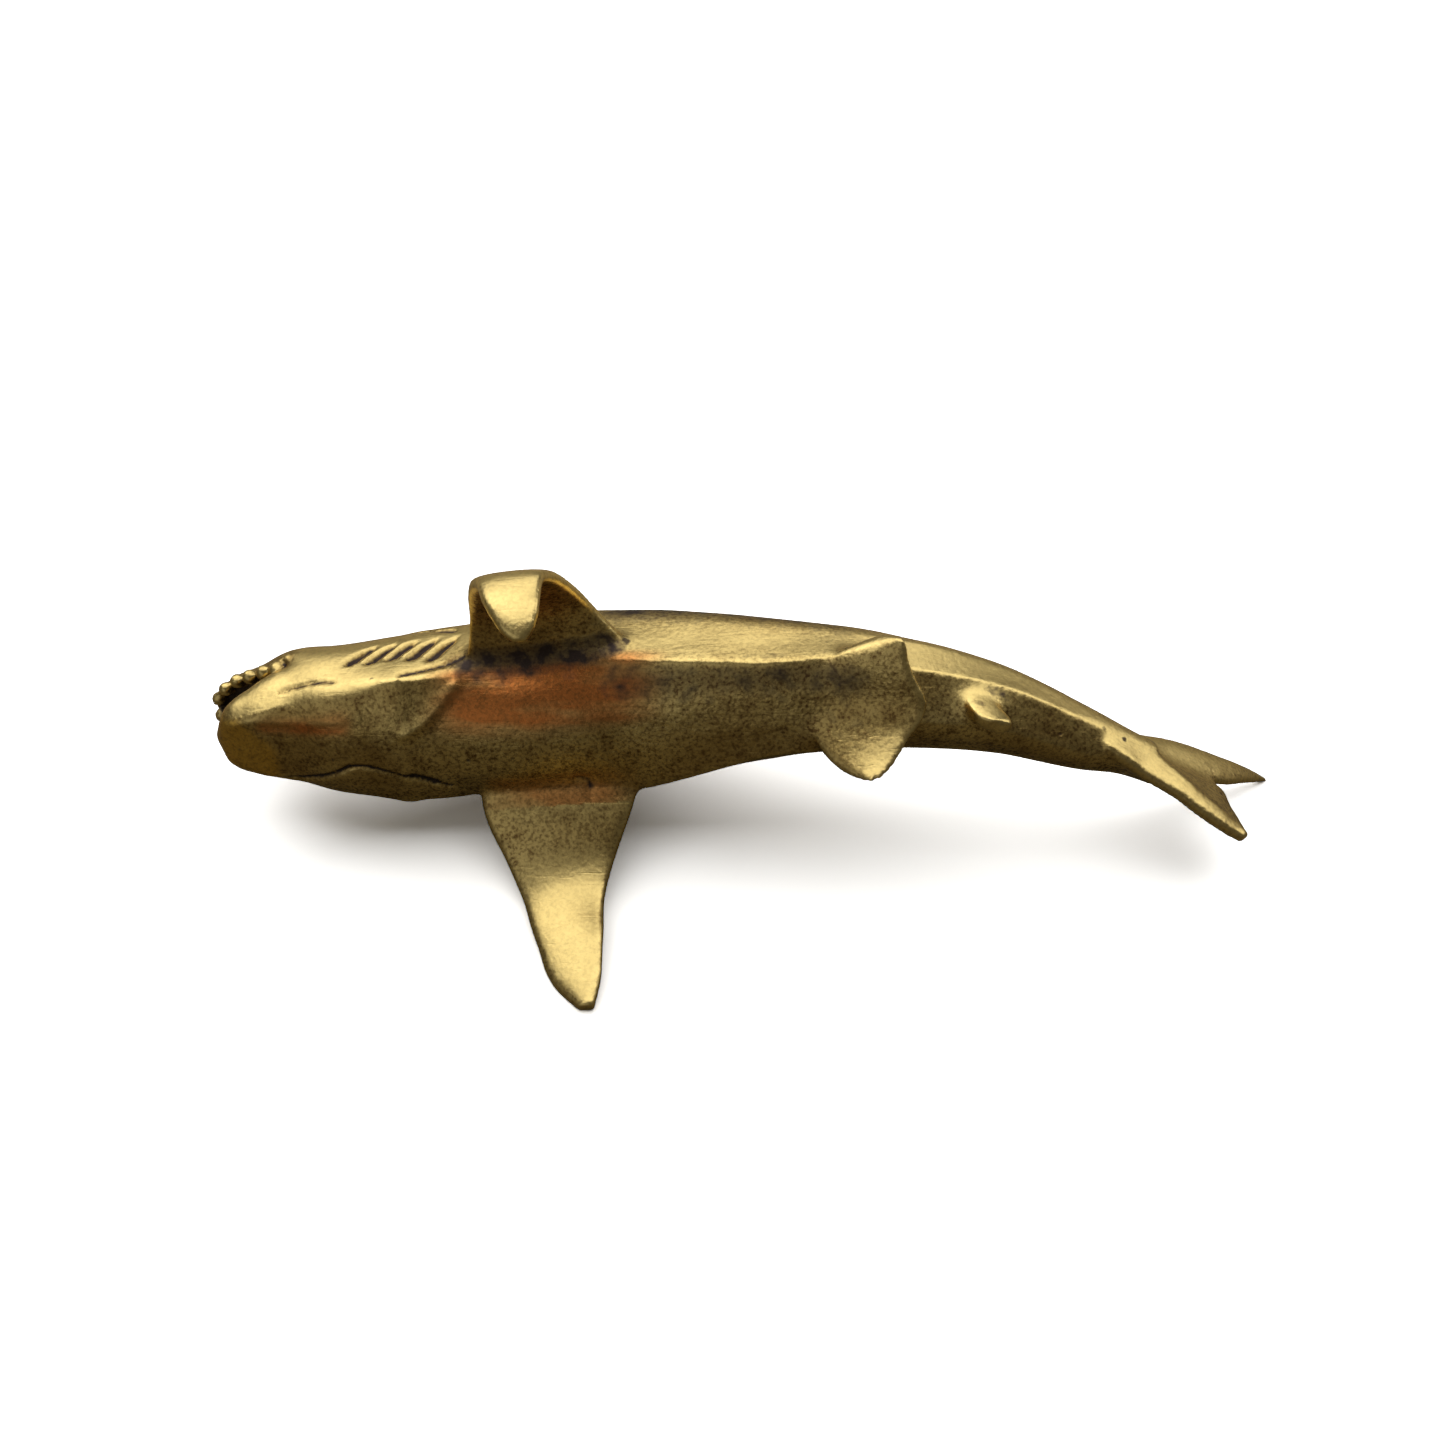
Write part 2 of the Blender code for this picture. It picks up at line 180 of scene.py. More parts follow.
@dataclass(frozen=True)
class MiddleLine:
    """The shark's bent middle line, from which every place on it is measured.

    A place is a distance behind the snout, a distance to the shark's left, and a distance toward
    its belly. Cross-sections stand square to X. Each station holds a share of the length, then
    shares of the sway, the rise, the twist and the radius.
    """

    length: float = 69.0 * MM
    radius: float = 6.45 * MM
    lift: float = 8.7 * MM
    rise: float = 3.8 * MM
    sway: float = 5.2 * MM
    turn: float = 18.0
    twist: float = 17.0
    stations: tuple = (
        (0.00, -0.33, -0.10, 0.0, 0.60),
        (0.15, -0.33, -0.05, 0.0, 0.85),
        (0.26, -0.12, -0.10, 0.0, 0.94),
        (0.38, 0.00, 0.00, 0.0, 1.00),
        (0.47, -0.04, 0.19, 0.2, 0.97),
        (0.59, -0.27, 0.70, 0.6, 0.80),
        (0.73, -0.52, 1.02, 0.8, 0.60),
        (0.83, -0.70, 0.84, 1.0, 0.48),
        (0.92, -0.86, 0.27, 0.9, 0.37),
        (0.96, -0.92, 0.02, 0.8, 0.28),
        (1.00, -1.00, -0.30, 0.8, 0.24),
    )

    def at(self, x: np.ndarray) -> tuple:
        """Reads the line at distances behind the snout.

        Args:
            x: The distances.

        Returns:
            Points on the line, the directions to the left and to the belly, and the body's radii.
        """
        x = np.asarray(x, float)
        sway, rise, twist, girth = carry(self.stations, x / self.length).T
        turn = np.radians(self.turn + self.twist * twist)
        points = np.stack([x, self.sway * sway, self.lift + self.rise * rise], 1)
        zero = np.zeros_like(turn)
        left = np.stack([zero, np.sin(turn), np.cos(turn)], 1)
        belly = np.stack([zero, -np.cos(turn), np.sin(turn)], 1)
        return points, left, belly, self.radius * girth

    def place(self, x: np.ndarray, left: np.ndarray, belly: np.ndarray) -> np.ndarray:
        """Turns places on the shark into points: line + left * its direction + belly * its direction.

        Args:
            x: Distances behind the snout.
            left: Distances to the left.
            belly: Distances toward the belly.

        Returns:
            The points, with one more axis than the widest of the three.
        """
        x, left, belly = np.broadcast_arrays(x, left, belly)
        points, to_left, to_belly, _ = self.at(x.ravel())
        world = points + left.ravel()[:, None] * to_left + belly.ravel()[:, None] * to_belly
        return world.reshape(x.shape + (3,))

    def locate(self, world: np.ndarray) -> tuple:
        """The reverse of place.

        Args:
            world: Points.

        Returns:
            Their distances behind the snout, to the left and toward the belly, and the body's radii.
        """
        points, to_left, to_belly, radius = self.at(world[:, 0])
        away = world - points
        left = np.einsum("ij,ij->i", away, to_left)
        belly = np.einsum("ij,ij->i", away, to_belly)
        return world[:, 0], left, belly, radius


@dataclass(frozen=True)
class Facets:
    """The worn edges and flats that run along the shark's round section.

    The radius in direction a from the belly is R * (1 + rise at the edge - flats either side of
    it). Each station holds mm behind the snout, the edge's angle from the belly and its rise. The
    tail stalk is cut flat twice: R * (1 - cut) / cos(a - angle of the flat) where that is less.
    Angles and widths are in degrees, spans in mm behind the snout, and depths are shares of R.
    """

    stations: tuple = (
        (0.0, 24.0, 0.00),
        (3.4, 29.0, 0.04),
        (8.5, 46.0, 0.07),
        (12.0, 50.0, 0.07),
        (18.5, 51.0, 0.07),
        (21.0, 55.0, 0.01),
        (28.0, 53.0, 0.01),
        (30.5, 50.0, 0.07),
        (36.5, 42.0, 0.09),
        (41.0, 38.0, 0.09),
        (46.0, 43.0, 0.08),
        (50.0, 50.0, 0.00),
        (64.0, 60.0, 0.00),
    )
    usual_rise: float = 0.07
    edge_lift: float = 1.25
    edge_width: float = 22.0
    belly_flat: float = 0.06
    belly_share: float = 0.62
    side_flat: float = 0.04
    side_beyond: float = 30.0
    side_width: float = 16.0
    sag: float = 0.04
    sag_angle: float = -68.0
    sag_width: float = 26.0
    sag_span: tuple = (20.0, 30.0, 56.0, 64.0)
    stalk_flats: tuple = ((60.0, 0.06), (12.0, 0.12))
    stalk_span: tuple = (45.0, 50.0, 61.0, 67.0)
    flat_reach: float = 60.0

    def shape(self, x: np.ndarray, left: np.ndarray, belly: np.ndarray) -> tuple:
        """Moves places in or out so that the section gets its edges and flats.

        Args:
            x: Distances behind the snout.
            left: Distances to the left.
            belly: Distances toward the belly.

        Returns:
            The new distances to the left and toward the belly.
        """
        off = off_belly(np.abs(left), belly)
        signed = off_belly(left, belly)
        edge, rise = carry(self.stations, x.ravel() / MM).T.reshape(2, *x.shape)
        here = rise / self.usual_rise
        lift = self.edge_lift * rise * peak(off, edge, self.edge_width)
        lift = lift - here * self.belly_flat * bump(off, 0.0, self.belly_share * edge)
        lift = lift - here * self.side_flat * bump(off, edge + self.side_beyond, self.side_width)
        body = between(x / MM, self.sag_span)
        lift = lift + self.sag * body * bump(signed, self.sag_angle, self.sag_width)
        stalk = between(x / MM, self.stalk_span)
        for angle, cut in self.stalk_flats:
            away = np.clip(signed - angle, -self.flat_reach, self.flat_reach)
            plane = (1 - cut) / np.cos(np.radians(away))
            lift = lift + stalk * np.minimum(plane - 1, 0)
        return left * (1 + lift), belly * (1 + lift)


@dataclass(frozen=True)
class Crease:
    """A line tooled, worn or tarnished into the skin; a flat one can carry painted shade instead.

    Its places are mm behind the snout and degrees from the belly toward the left. Its width and
    depth are in mm; a depth below zero raises the line instead.
    """

    places: tuple
    width: float
    depth: float
    dark: float

    def strength(self, line: MiddleLine, chart: np.ndarray) -> np.ndarray:
        """How near the line each place is: exp(-(distance / width) ** 2).

        Args:
            line: The middle line.
            chart: Distances behind the snout and round the body.

        Returns:
            From 0 to 1, by the distance to the nearest stretch.
        """
        x, off = np.asarray(self.places, float).T
        x = x * MM
        path = np.stack([x, np.radians(off) * line.at(x)[3]], -1)
        best = np.full(len(chart), 1.0)
        for start, run in zip(path[:-1], np.diff(path, axis=0)):
            share = np.clip((chart - start) @ run / (run @ run), 0, 1)
            best = np.minimum(best, np.linalg.norm(chart - start - share[:, None] * run, axis=1))
        return bump(best, 0.0, self.width * MM)


def blot(away: np.ndarray, reach: float) -> np.ndarray:
    """A round blot with a soft rim: 1 within 0.3 of its reach, 0 past it."""
    return fade(away, reach, 0.3 * reach)


@dataclass(frozen=True)
class Stain:
    """A dark blot, of patina, and at the left fin's root of painted shade: mm behind the snout, degrees
    from the belly, reach in mm, strength.
    """

    x: float
    off: float
    reach: float
    dark: float

    def strength(self, line: MiddleLine, chart: np.ndarray) -> np.ndarray:
        """From 0 to 1 by the distance to the blot's middle."""
        middle = np.array([self.x * MM, np.radians(self.off) * line.at([self.x * MM])[3][0]])
        return blot(np.linalg.norm(chart - middle, axis=1) / MM, self.reach)


@dataclass(frozen=True)
class Smudge:
    """A soft dark patch on a fin, the first a painted dark reflection: its place in mm (behind, left,
    belly), reach in mm, strength.
    """

    place: tuple
    reach: float
    dark: float

    def strength(self, places: np.ndarray) -> np.ndarray:
        """From 0 to 1 by the distance to the smudge's middle."""
        return blot(np.linalg.norm(places / MM - self.place, axis=1), self.reach)


@dataclass(frozen=True)
class Gills:
    """Five comma-shaped gill slits on each side, cut into the finished skin."""

    first: float = 11.7 * MM
    spacing: float = 1.44 * MM
    run: float = 1.55 * MM
    curl: float = 1.4
    width: float = 0.33 * MM
    depth: float = 0.5 * MM
    bottoms: tuple = (74.0, 72.0, 72.0, 69.0, 66.0)
    tops: tuple = (93.0, 91.0, 90.0, 90.0, 88.0)
    taper: tuple = (-0.08, 0.12, 0.6, 1.12)

    def cut(self, x: np.ndarray, left: np.ndarray, belly: np.ndarray) -> np.ndarray:
        """Each slit curves back by run * t ** curl, where t runs from 0 at its bottom to 1 at its top.

        Args:
            x: Distances behind the snout.
            left: Distances to the left.
            belly: Distances toward the belly.

        Returns:
            How deep the slits are at each place, from 0 to 1.
        """
        off = off_belly(np.abs(left), belly)[:, None]
        bottom, top = np.asarray(self.bottoms), np.asarray(self.tops)
        t = (off - bottom) / (top - bottom)
        slits = self.first + np.arange(len(bottom)) * self.spacing
        slits = slits + self.run * np.clip(t, 0, 1.2) ** self.curl
        taper = between(t, self.taper)
        away = (x[:, None] - slits) / (self.width * (0.6 + 0.5 * taper))
        return (np.exp(-(away**2)) * taper).sum(1)


@dataclass(frozen=True)
class Relief:
    """Everything tooled, worn or stained on the finished skin, and the painted shade drawn with it.

    The creases are, in order: the mouth line in two stretches, a nick beside it, a scratch on the
    left cheek, a fold before the left fin, two marks near the back, a raised fold across the
    throat, a raised line along the chin, a hook at the right fin's root, the lift at the mouth's
    left corner, and patina with painted shade at the left fin's root, a painted dark reflection
    along the back and painted shade under the left edge.
    """

    gills: Gills = Gills()
    creases: tuple = (
        Crease(
            ((4.6, -52), (6.1, -44), (8.0, -38), (9.3, -30), (10.8, -20), (11.7, -13)), 0.17, 0.4, 0.9
        ),
        Crease(
            ((11.7, -13), (12.5, -12), (13.3, -14), (14.6, -19), (16.2, -26), (18.5, -37)), 0.13, 0.3, 0.8
        ),
        Crease(((16.0, -23), (17.4, -31)), 0.3, 0.22, 0.8),
        Crease(((6.9, 57), (9.0, 61), (10.9, 58)), 0.13, 0.14, 0.7),
        Crease(((15.6, 54), (17.2, 57), (18.8, 60), (19.8, 64)), 0.14, 0.2, 0.8),
        Crease(((15.6, 108), (16.6, 106)), 0.22, 0.3, 1.0),
        Crease(((17.4, 103), (18.6, 99)), 0.24, 0.3, 1.0),
        Crease(((19.3, 44), (18.4, 34), (17.2, 22), (15.9, 14)), 0.5, -0.25, 0.0),
        Crease(((3.2, 24), (5.8, 30), (9.0, 27), (12.6, 30)), 0.45, -0.1, 0.0),
        Crease(((27.6, -31), (28.4, -34), (28.5, -38)), 0.35, 0.1, 0.2),
        Crease(((6.3, 74), (7.6, 77), (9.4, 77)), 1.8, -0.22, 0.0),
        # Patina with painted shade at the left fin's root, painted dark reflection along the back, and
        # painted shade under the left edge.
        Crease(((19.6, 57), (22.0, 56), (26.0, 55), (30.0, 57)), 1.6, 0.0, 0.62),
        Crease(((31.0, 108), (38.0, 110), (46.0, 111)), 2.8, 0.0, 0.62),
        Crease(((31.0, 36), (36.0, 30), (42.0, 27), (47.0, 25)), 2.0, 0.0, 0.48),
    )
    stains_and_shade: tuple = (
        Stain(10.6, -6, 0.35, 1.0),
        Stain(13.6, 55, 0.25, 0.8),
        Stain(16.4, -7, 0.9, 0.5),
        Stain(18.4, -28, 0.35, 0.8),
        Stain(7.4, -4, 0.9, 0.4),
        # These two, under the left fin's root, add painted shade to the patina there.
        Stain(21.0, 63, 1.3, 0.3),
        Stain(25.0, 61, 1.6, 0.3),
        Stain(31.0, 62, 1.0, 0.9),
        Stain(44.6, 62, 1.8, 0.6),
        Stain(46.3, 52, 0.7, 0.7),
        Stain(43.5, 84, 1.6, 0.5),
        Stain(47.4, 29, 0.9, 0.7),
        Stain(49.3, 34, 0.9, 0.7),
        Stain(48.6, 3, 0.8, 0.5),
        Stain(51.0, 34, 1.1, 0.8),
        Stain(52.3, 58, 0.9, 0.5),
        Stain(56.4, 37, 1.0, 0.8),
        Stain(57.5, 33, 1.2, 0.8),
        Stain(64.7, 43, 0.4, 1.0),
        Stain(66.2, 36, 0.35, 1.0),
        Stain(65.3, 8, 0.7, 0.9),
    )
    smudges_and_reflection: tuple = (
        # Painted dark reflection near the folded tip of the left fin.
        Smudge((25.9, 11.9, 12.3), 1.2, 0.5),
        Smudge((55.4, 0.75, 3.7), 0.7, 0.4),
        Smudge((46.5, -1.0, 4.6), 3.5, 0.25),
    )
    clear_of_skin: tuple = (1.3, 1.15)

    def apply(self, line: MiddleLine, place: tuple) -> tuple:
        """Works out the relief on a chart of the skin: distance behind the snout and round the body.

        Args:
            line: The middle line.
            place: Distances behind the snout, to the left and toward the belly, and the radii.

        Returns:
            How far to sink each point, how dark it turns, and how stained it is.
        """
        x, left, belly, radius = place
        chart = np.stack([x, np.arctan2(left, belly) * radius], -1)
        near = fade(np.hypot(left, belly) / radius, *self.clear_of_skin)
        slits = np.minimum(self.gills.cut(x, left, belly), 1) * near
        depth, dark = self.gills.depth * slits, slits
        for crease in self.creases:
            here = crease.strength(line, chart) * near
            depth = depth + crease.depth * MM * here
            dark = np.maximum(dark, crease.dark * here)
        places = np.stack([x, left, belly], 1)
        for smudge in self.smudges_and_reflection:
            dark = np.maximum(dark, smudge.dark * smudge.strength(places))
        stained = np.zeros(len(x))
        for stain in self.stains_and_shade:
            stained = np.maximum(stained, stain.dark * stain.strength(line, chart) * near)
        return depth, dark, stained


@dataclass(frozen=True)
class Trunk:
    """The body from the throat to the root of the tail fin."""

    line: MiddleLine
    facets: Facets
    start: float = 12.5 * MM
    nose: float = 3.75 * MM

    def form(self, stations: int = 420, size: int = 160) -> Form:
        """Rings of radius R(x) round the middle line, rounded off at the front inside the head.

        Args:
            stations: How many rings.
            size: How many points in a ring.

        Returns:
            The closed body.
        """
        x = np.linspace(self.start, self.line.length, stations)
        radius = self.line.at(x)[3] * np.sqrt(np.clip((x - self.start) / self.nose, 0.01, 1))
        angle = around(size)
        x = np.broadcast_to(x[:, None], (stations, size))
        left, belly = radius[:, None] * np.sin(angle), radius[:, None] * np.cos(angle)
        return skin(self.line.place(x, *self.facets.shape(x, left, belly)))


@dataclass(frozen=True)
class Jaw:
    """One jaw, from its tip back into the body.

    Each station holds a share of the head length, then shares of the body's radius there: toward
    the belly, half width, depth to the back and depth to the belly.
    """

    line: MiddleLine
    facets: Facets
    stations: tuple
    back_power: float
    belly_power: float
    length: float = 12.5 * MM
    round_from: float = 0.95
    square_over: float = 0.35

    def form(self, steps: int = 140, size: int = 128) -> Form:
        """Rings that are squarer than round near the mouth and turn round toward the body.

        Args:
            steps: How many rings.
            size: How many points in a ring.

        Returns:
            The closed jaw.
        """
        share = gathered(self.stations[0][0], self.stations[-1][0], steps)
        radius = self.line.at(share * self.length)[3]
        shift, width, back, belly = (carry(self.stations, share).T * radius)[:, :, None]
        angle = around(size)
        low = np.sin(angle) > 0
        square = np.clip((self.round_from - share[:, None]) / self.square_over, 0, 1)
        power = 1 - square * (1 - np.where(low, self.belly_power, self.back_power))
        x = np.broadcast_to(share[:, None] * self.length, (steps, size))
        across = width * power_wave(np.cos(angle), power)
        deep = shift + np.where(low, belly, back) * power_wave(np.sin(angle), power)
        return skin(self.line.place(x, *self.facets.shape(x, across, deep)))


def ball(line: MiddleLine, place: tuple, radius: float, size: int) -> Form:
    """A ball: radius * (sin p cos a, sin p sin a, cos p) round a place, p from pole to pole.

    Args:
        line: The middle line.
        place: Distances behind the snout, to the left and toward the belly.
        radius: Its radius.
        size: How many points round it.

    Returns:
        The closed ball.
    """
    x, left, belly = place
    polar = np.linspace(0.03, np.pi - 0.03, 16)[:, None]
    angle = around(size)
    along = radius * np.sin(polar) * np.cos(angle)
    across = radius * np.sin(polar) * np.sin(angle)
    return skin(line.place(x + along, left + across, belly + radius * np.cos(polar)))


@dataclass(frozen=True)
class Teeth:
    """Bead-like teeth along the rim of the upper jaw, alike on both sides.

    Places are in mm: behind the snout, to the side and toward the belly.
    """

    line: MiddleLine
    radius: float = 0.56 * MM
    places: tuple = (
        (0.75, 0.70, -2.00),
        (1.50, 1.65, -1.75),
        (2.60, 2.50, -1.40),
        (3.75, 3.10, -0.95),
        (4.95, 3.65, -0.60),
        (6.05, 4.00, -0.40),
    )

    def forms(self, side: Side) -> list:
        """One ball at each place on the side."""
        places = np.array(self.places) * MM * (1, side.value, 1)
        return [ball(self.line, place, self.radius, 20) for place in places]


@dataclass(frozen=True)
class Eye:
    """A plain round eye on the far part of the cheek."""

    line: MiddleLine
    x: float = 6.25 * MM
    left: float = 2.35 * MM
    belly: float = -3.75 * MM
    radius: float = 0.8 * MM

    def form(self, side: Side) -> Form:
        """A ball half sunk in the cheek."""
        return ball(self.line, (self.x, side.value * self.left, self.belly), self.radius, 24)


def blade(
    front: np.ndarray,
    back: np.ndarray,
    normal: np.ndarray,
    thickness: np.ndarray,
    power: float = 0.8,
    size: int = 72,
) -> Form:
    """A fin between two edge curves, shaped across like a lens.

    Points run along middle - half chord * cos(a) + normal * thickness / 2 * sin(a) ** power.

    Args:
        front: Points of the front edge, from the root to the tip.
        back: Points of the back edge, as many.
        normal: The direction of the fin's thickness at each.
        thickness: The thickness at each.
        power: 1 for a pointed lens, less for blunt edges.
        size: How many points across and back.

    Returns:
        The closed fin.
    """
    angle = around(size)[:, :, None]
    middle = (front + back)[:, None, :] / 2
    half = (back - front)[:, None, :] / 2
    swell = power_wave(np.sin(angle), power)
    depth = unit(normal)[:, None, :] * thickness[:, None, None] / 2
    return skin(middle - half * np.cos(angle) + depth * swell)


@dataclass(frozen=True)
class PectoralFin:
    """A side fin that arches away from the body and then toward the belly.

    Each station holds shares of the two reaches, then its front and back edge in chords.
    """

    line: MiddleLine
    stations: tuple
    reach_side: float
    reach_belly: float
    x: float = 20.2 * MM
    chord: float = 11.0 * MM
    thickness: float = 1.7 * MM
    thinner: float = 0.4
    blunt: float = 0.5

    def form(self, steps: int = 130) -> Form:
        """Carries the chord along the arched path, with the thickness square to the path.

        Args:
            steps: How many cross-sections.

        Returns:
            The closed fin.
        """
        rows = np.asarray(self.stations)
        side, belly = rows[:, 0] * self.reach_side, rows[:, 1] * self.reach_belly
        reach = np.concatenate([[0], np.cumsum(np.hypot(np.diff(side), np.diff(belly)))])
        at = np.linspace(0, reach[-1], steps)
        edges = self.x + rows[:, 2:] * self.chord
        side, belly, front, back = carry(np.column_stack([reach, side, belly, edges]), at).T
        middle = (front + back) / 2
        out_side, out_belly = np.gradient(side), np.gradient(belly)
        centre = self.line.place(middle, side, belly)
        normal = self.line.place(middle, side - out_belly, belly + out_side) - centre
        thickness = self.thickness * (1 - self.thinner * at / reach[-1])
        lead, trail = self.line.place(front, side, belly), self.line.place(back, side, belly)
        return blade(lead, trail, normal, thickness, self.blunt)


@dataclass(frozen=True)
class DorsalFin:
    """The back fin, which leans so that its tip meets the table.

    Each station holds a share of the height, then the front and back edge in chords.
    """

    line: MiddleLine
    x: float = 18.0 * MM
    height: float = 17.9 * MM
    chord: float = 13.0 * MM
    thickness: float = 2.2 * MM
    root_swell: float = 1.1
    thinner: float = 0.6
    lean: float = 9.5
    stations: tuple = (
        (0.25, 0.00, 1.00),
        (0.45, 0.12, 0.88),
        (0.68, 0.27, 0.77),
        (0.88, 0.43, 0.71),
        (1.00, 0.55, 0.68),
    )

    def form(self, steps: int = 90) -> Form:
        """Carries the chord away from the back, along an arc of growing lean.

        Args:
            steps: How many cross-sections.

        Returns:
            The closed fin.
        """
        share = np.linspace(self.stations[0][0], self.stations[-1][0], steps)
        front, back = self.x + carry(self.stations, share).T * self.chord
        lean = np.radians(self.lean) * share
        side, belly = -share * self.height * np.sin(lean), -share * self.height * np.cos(lean)
        middle = (front + back) / 2
        normal = self.line.place(middle, side + MM, belly) - self.line.place(middle, side, belly)
        lead, trail = self.line.place(front, side, belly), self.line.place(back, side, belly)
        return blade(lead, trail, normal, self.thickness * (self.root_swell - self.thinner * share))


@dataclass(frozen=True)
class PelvicFins:
    """The pair of hind fins, joined across the belly, with a free back edge.

    Each station holds a share of the half span, from the right tip to the left, then the front and
    back edge in chords. The right fin bends toward the belly by bend * share ** bend_power.
    """

    line: MiddleLine
    x: float = 43.2 * MM
    half_span: float = 5.2 * MM
    chord: float = 8.5 * MM
    thickness: float = 1.1 * MM
    seat: float = 0.8
    flare: float = 1.1 * MM
    bend: float = 2.3 * MM
    bend_power: float = 1.5
    tuck: float = 0.3
    blunt: float = 0.5
    stations: tuple = (
        (-1.00, 0.44, 0.55),
        (-0.97, 0.39, 0.60),
        (-0.92, 0.34, 0.65),
        (-0.84, 0.28, 0.70),
        (-0.64, 0.18, 0.78),
        (-0.38, 0.09, 0.87),
        (-0.10, 0.02, 0.98),
        (0.12, 0.04, 1.00),
        (0.43, 0.12, 0.90),
        (0.64, 0.24, 0.85),
        (0.82, 0.50, 0.83),
        (0.93, 0.68, 0.80),
    )

    def form(self, steps: int = 110) -> Form:
        """Carries the chord across the belly, from the right tip to the left tip.

        Args:
            steps: How many cross-sections.

        Returns:
            The closed pair of fins.
        """
        share = gathered(self.stations[0][0], self.stations[-1][0], steps)
        front, back = self.x + carry(self.stations, share).T * self.chord
        middle = (front + back) / 2
        bent = np.maximum(-share, 0) ** self.bend_power
        side = share * self.half_span + self.tuck * self.bend * bent
        belly = self.line.at(middle)[3] * self.seat + self.bend * bent
        normal = self.line.place(middle, side, belly + MM) - self.line.place(middle, side, belly)
        lead, trail = self.line.place(front, side, belly), self.line.place(back, side, belly + self.flare)
        return blade(lead, trail, normal, np.full(steps, self.thickness), self.blunt)


@dataclass(frozen=True)
class AnalFin:
    """The small leaf-like fin on the tail stalk: a thick flat plate, swept back, with a blunt end.

    Each station holds a share of the height, then the front and back edge in mm from x.
    """

    line: MiddleLine
    x: float = 55.8 * MM
    root: tuple = (0.85 * MM, 2.3 * MM)
    height: float = 2.8 * MM
    thickness: float = 1.2 * MM
    slope: float = 28.0
    blunt: float = 0.4
    stations: tuple = (
        (0.00, -1.7, 0.6),
        (0.45, -1.3, 1.2),
        (0.75, -0.9, 1.7),
        (0.92, -0.5, 1.6),
        (1.00, 0.0, 1.1),
    )

    def form(self, steps: int = 50) -> Form:
        """Carries the chord outward; the plate stands off the belly direction by the slope.

        Args:
            steps: How many cross-sections.

        Returns:
            The closed fin.
        """
        share = np.linspace(0, 1, steps)
        front, back = self.x + carry(self.stations, share).T * MM
        slope = np.radians(self.slope)
        side = self.root[0] - share * self.height * np.sin(slope)
        out = self.root[1] + share * self.height * np.cos(slope)
        x = (front + back) / 2
        up = self.line.place(x, side + np.cos(slope) * MM, out + np.sin(slope) * MM)
        lead, trail = self.line.place(front, side, out), self.line.place(back, side, out)
        normal = up - self.line.place(x, side, out)
        return blade(lead, trail, normal, np.full(steps, self.thickness), self.blunt)


@dataclass(frozen=True)
class TailLobe:
    """One lobe of the forked tail fin; its edges are shares of the fin's length from its root."""

    line: MiddleLine
    front: tuple
    back: tuple
    root: float = 67.2 * MM
    length: float = 13.0 * MM
    thickness: float = 1.2 * MM
    thinner: float = 0.45

    def form(self, steps: int = 90) -> Form:
        """Carries the chord from the root to the tip of the lobe, with the thickness square to it.

        Args:
            steps: How many cross-sections.

        Returns:
            The closed lobe.
        """
        at = np.linspace(0, 1, steps)
        keys = np.linspace(0, 1, len(self.front))
        root = self.line.at([self.root])[0]
        lead = root + self.length * carry(np.column_stack([keys, self.front]), at)
        trail = root + self.length * carry(np.column_stack([keys, self.back]), at)
        normal = np.cross(np.gradient((lead + trail) / 2, axis=0), trail - lead)
        return blade(lead, trail, normal, self.thickness * (1 - self.thinner * at))


@dataclass(frozen=True)
class TailSpar:
    """The broad bevel along the front of the near tail lobe.

    Each station holds a place in mm (behind the snout, away, up) and the bevel's width in mm.
    """

    stations: tuple = (
        (64.9, -5.5, 10.9, 1.9),
        (66.2, -5.8, 10.3, 2.5),
        (67.5, -6.2, 9.6, 2.7),
        (68.8, -6.9, 9.0, 2.4),
        (70.2, -7.7, 8.4, 2.0),
        (71.6, -8.5, 7.6, 1.7),
        (73.1, -9.2, 6.7, 1.5),
        (74.3, -9.7, 5.95, 1.2),
        (75.1, -10.0, 5.55, 0.8),
    )
    thickness: float = 1.0 * MM
    end_share: float = 0.8
    sunk: float = 0.36
    blunt: float = 0.22
    face: tuple = (0.0, 0.1, 1.0)

    def form(self, steps: int = 90) -> Form:
        """Carries a blunt bar along the stations, its upper face turned toward the given way.

        Args:
            steps: How many cross-sections.

        Returns:
            The closed bar.
        """
        keys = np.linspace(0, 1, len(self.stations))
        *place, width = carry(np.column_stack([keys, self.stations]), np.linspace(0, 1, steps)).T * MM
        path = np.stack(place, -1)
        ahead = unit(np.gradient(path, axis=0))
        normal = unit(np.array(self.face) - (ahead @ np.array(self.face))[:, None] * ahead)
        across = np.cross(normal, ahead) * width[:, None] / 2
        middle = path - normal * self.thickness * self.sunk
        thickness = self.thickness * np.linspace(1.0, self.end_share, steps)
        return blade(middle - across, middle + across, normal, thickness, self.blunt)


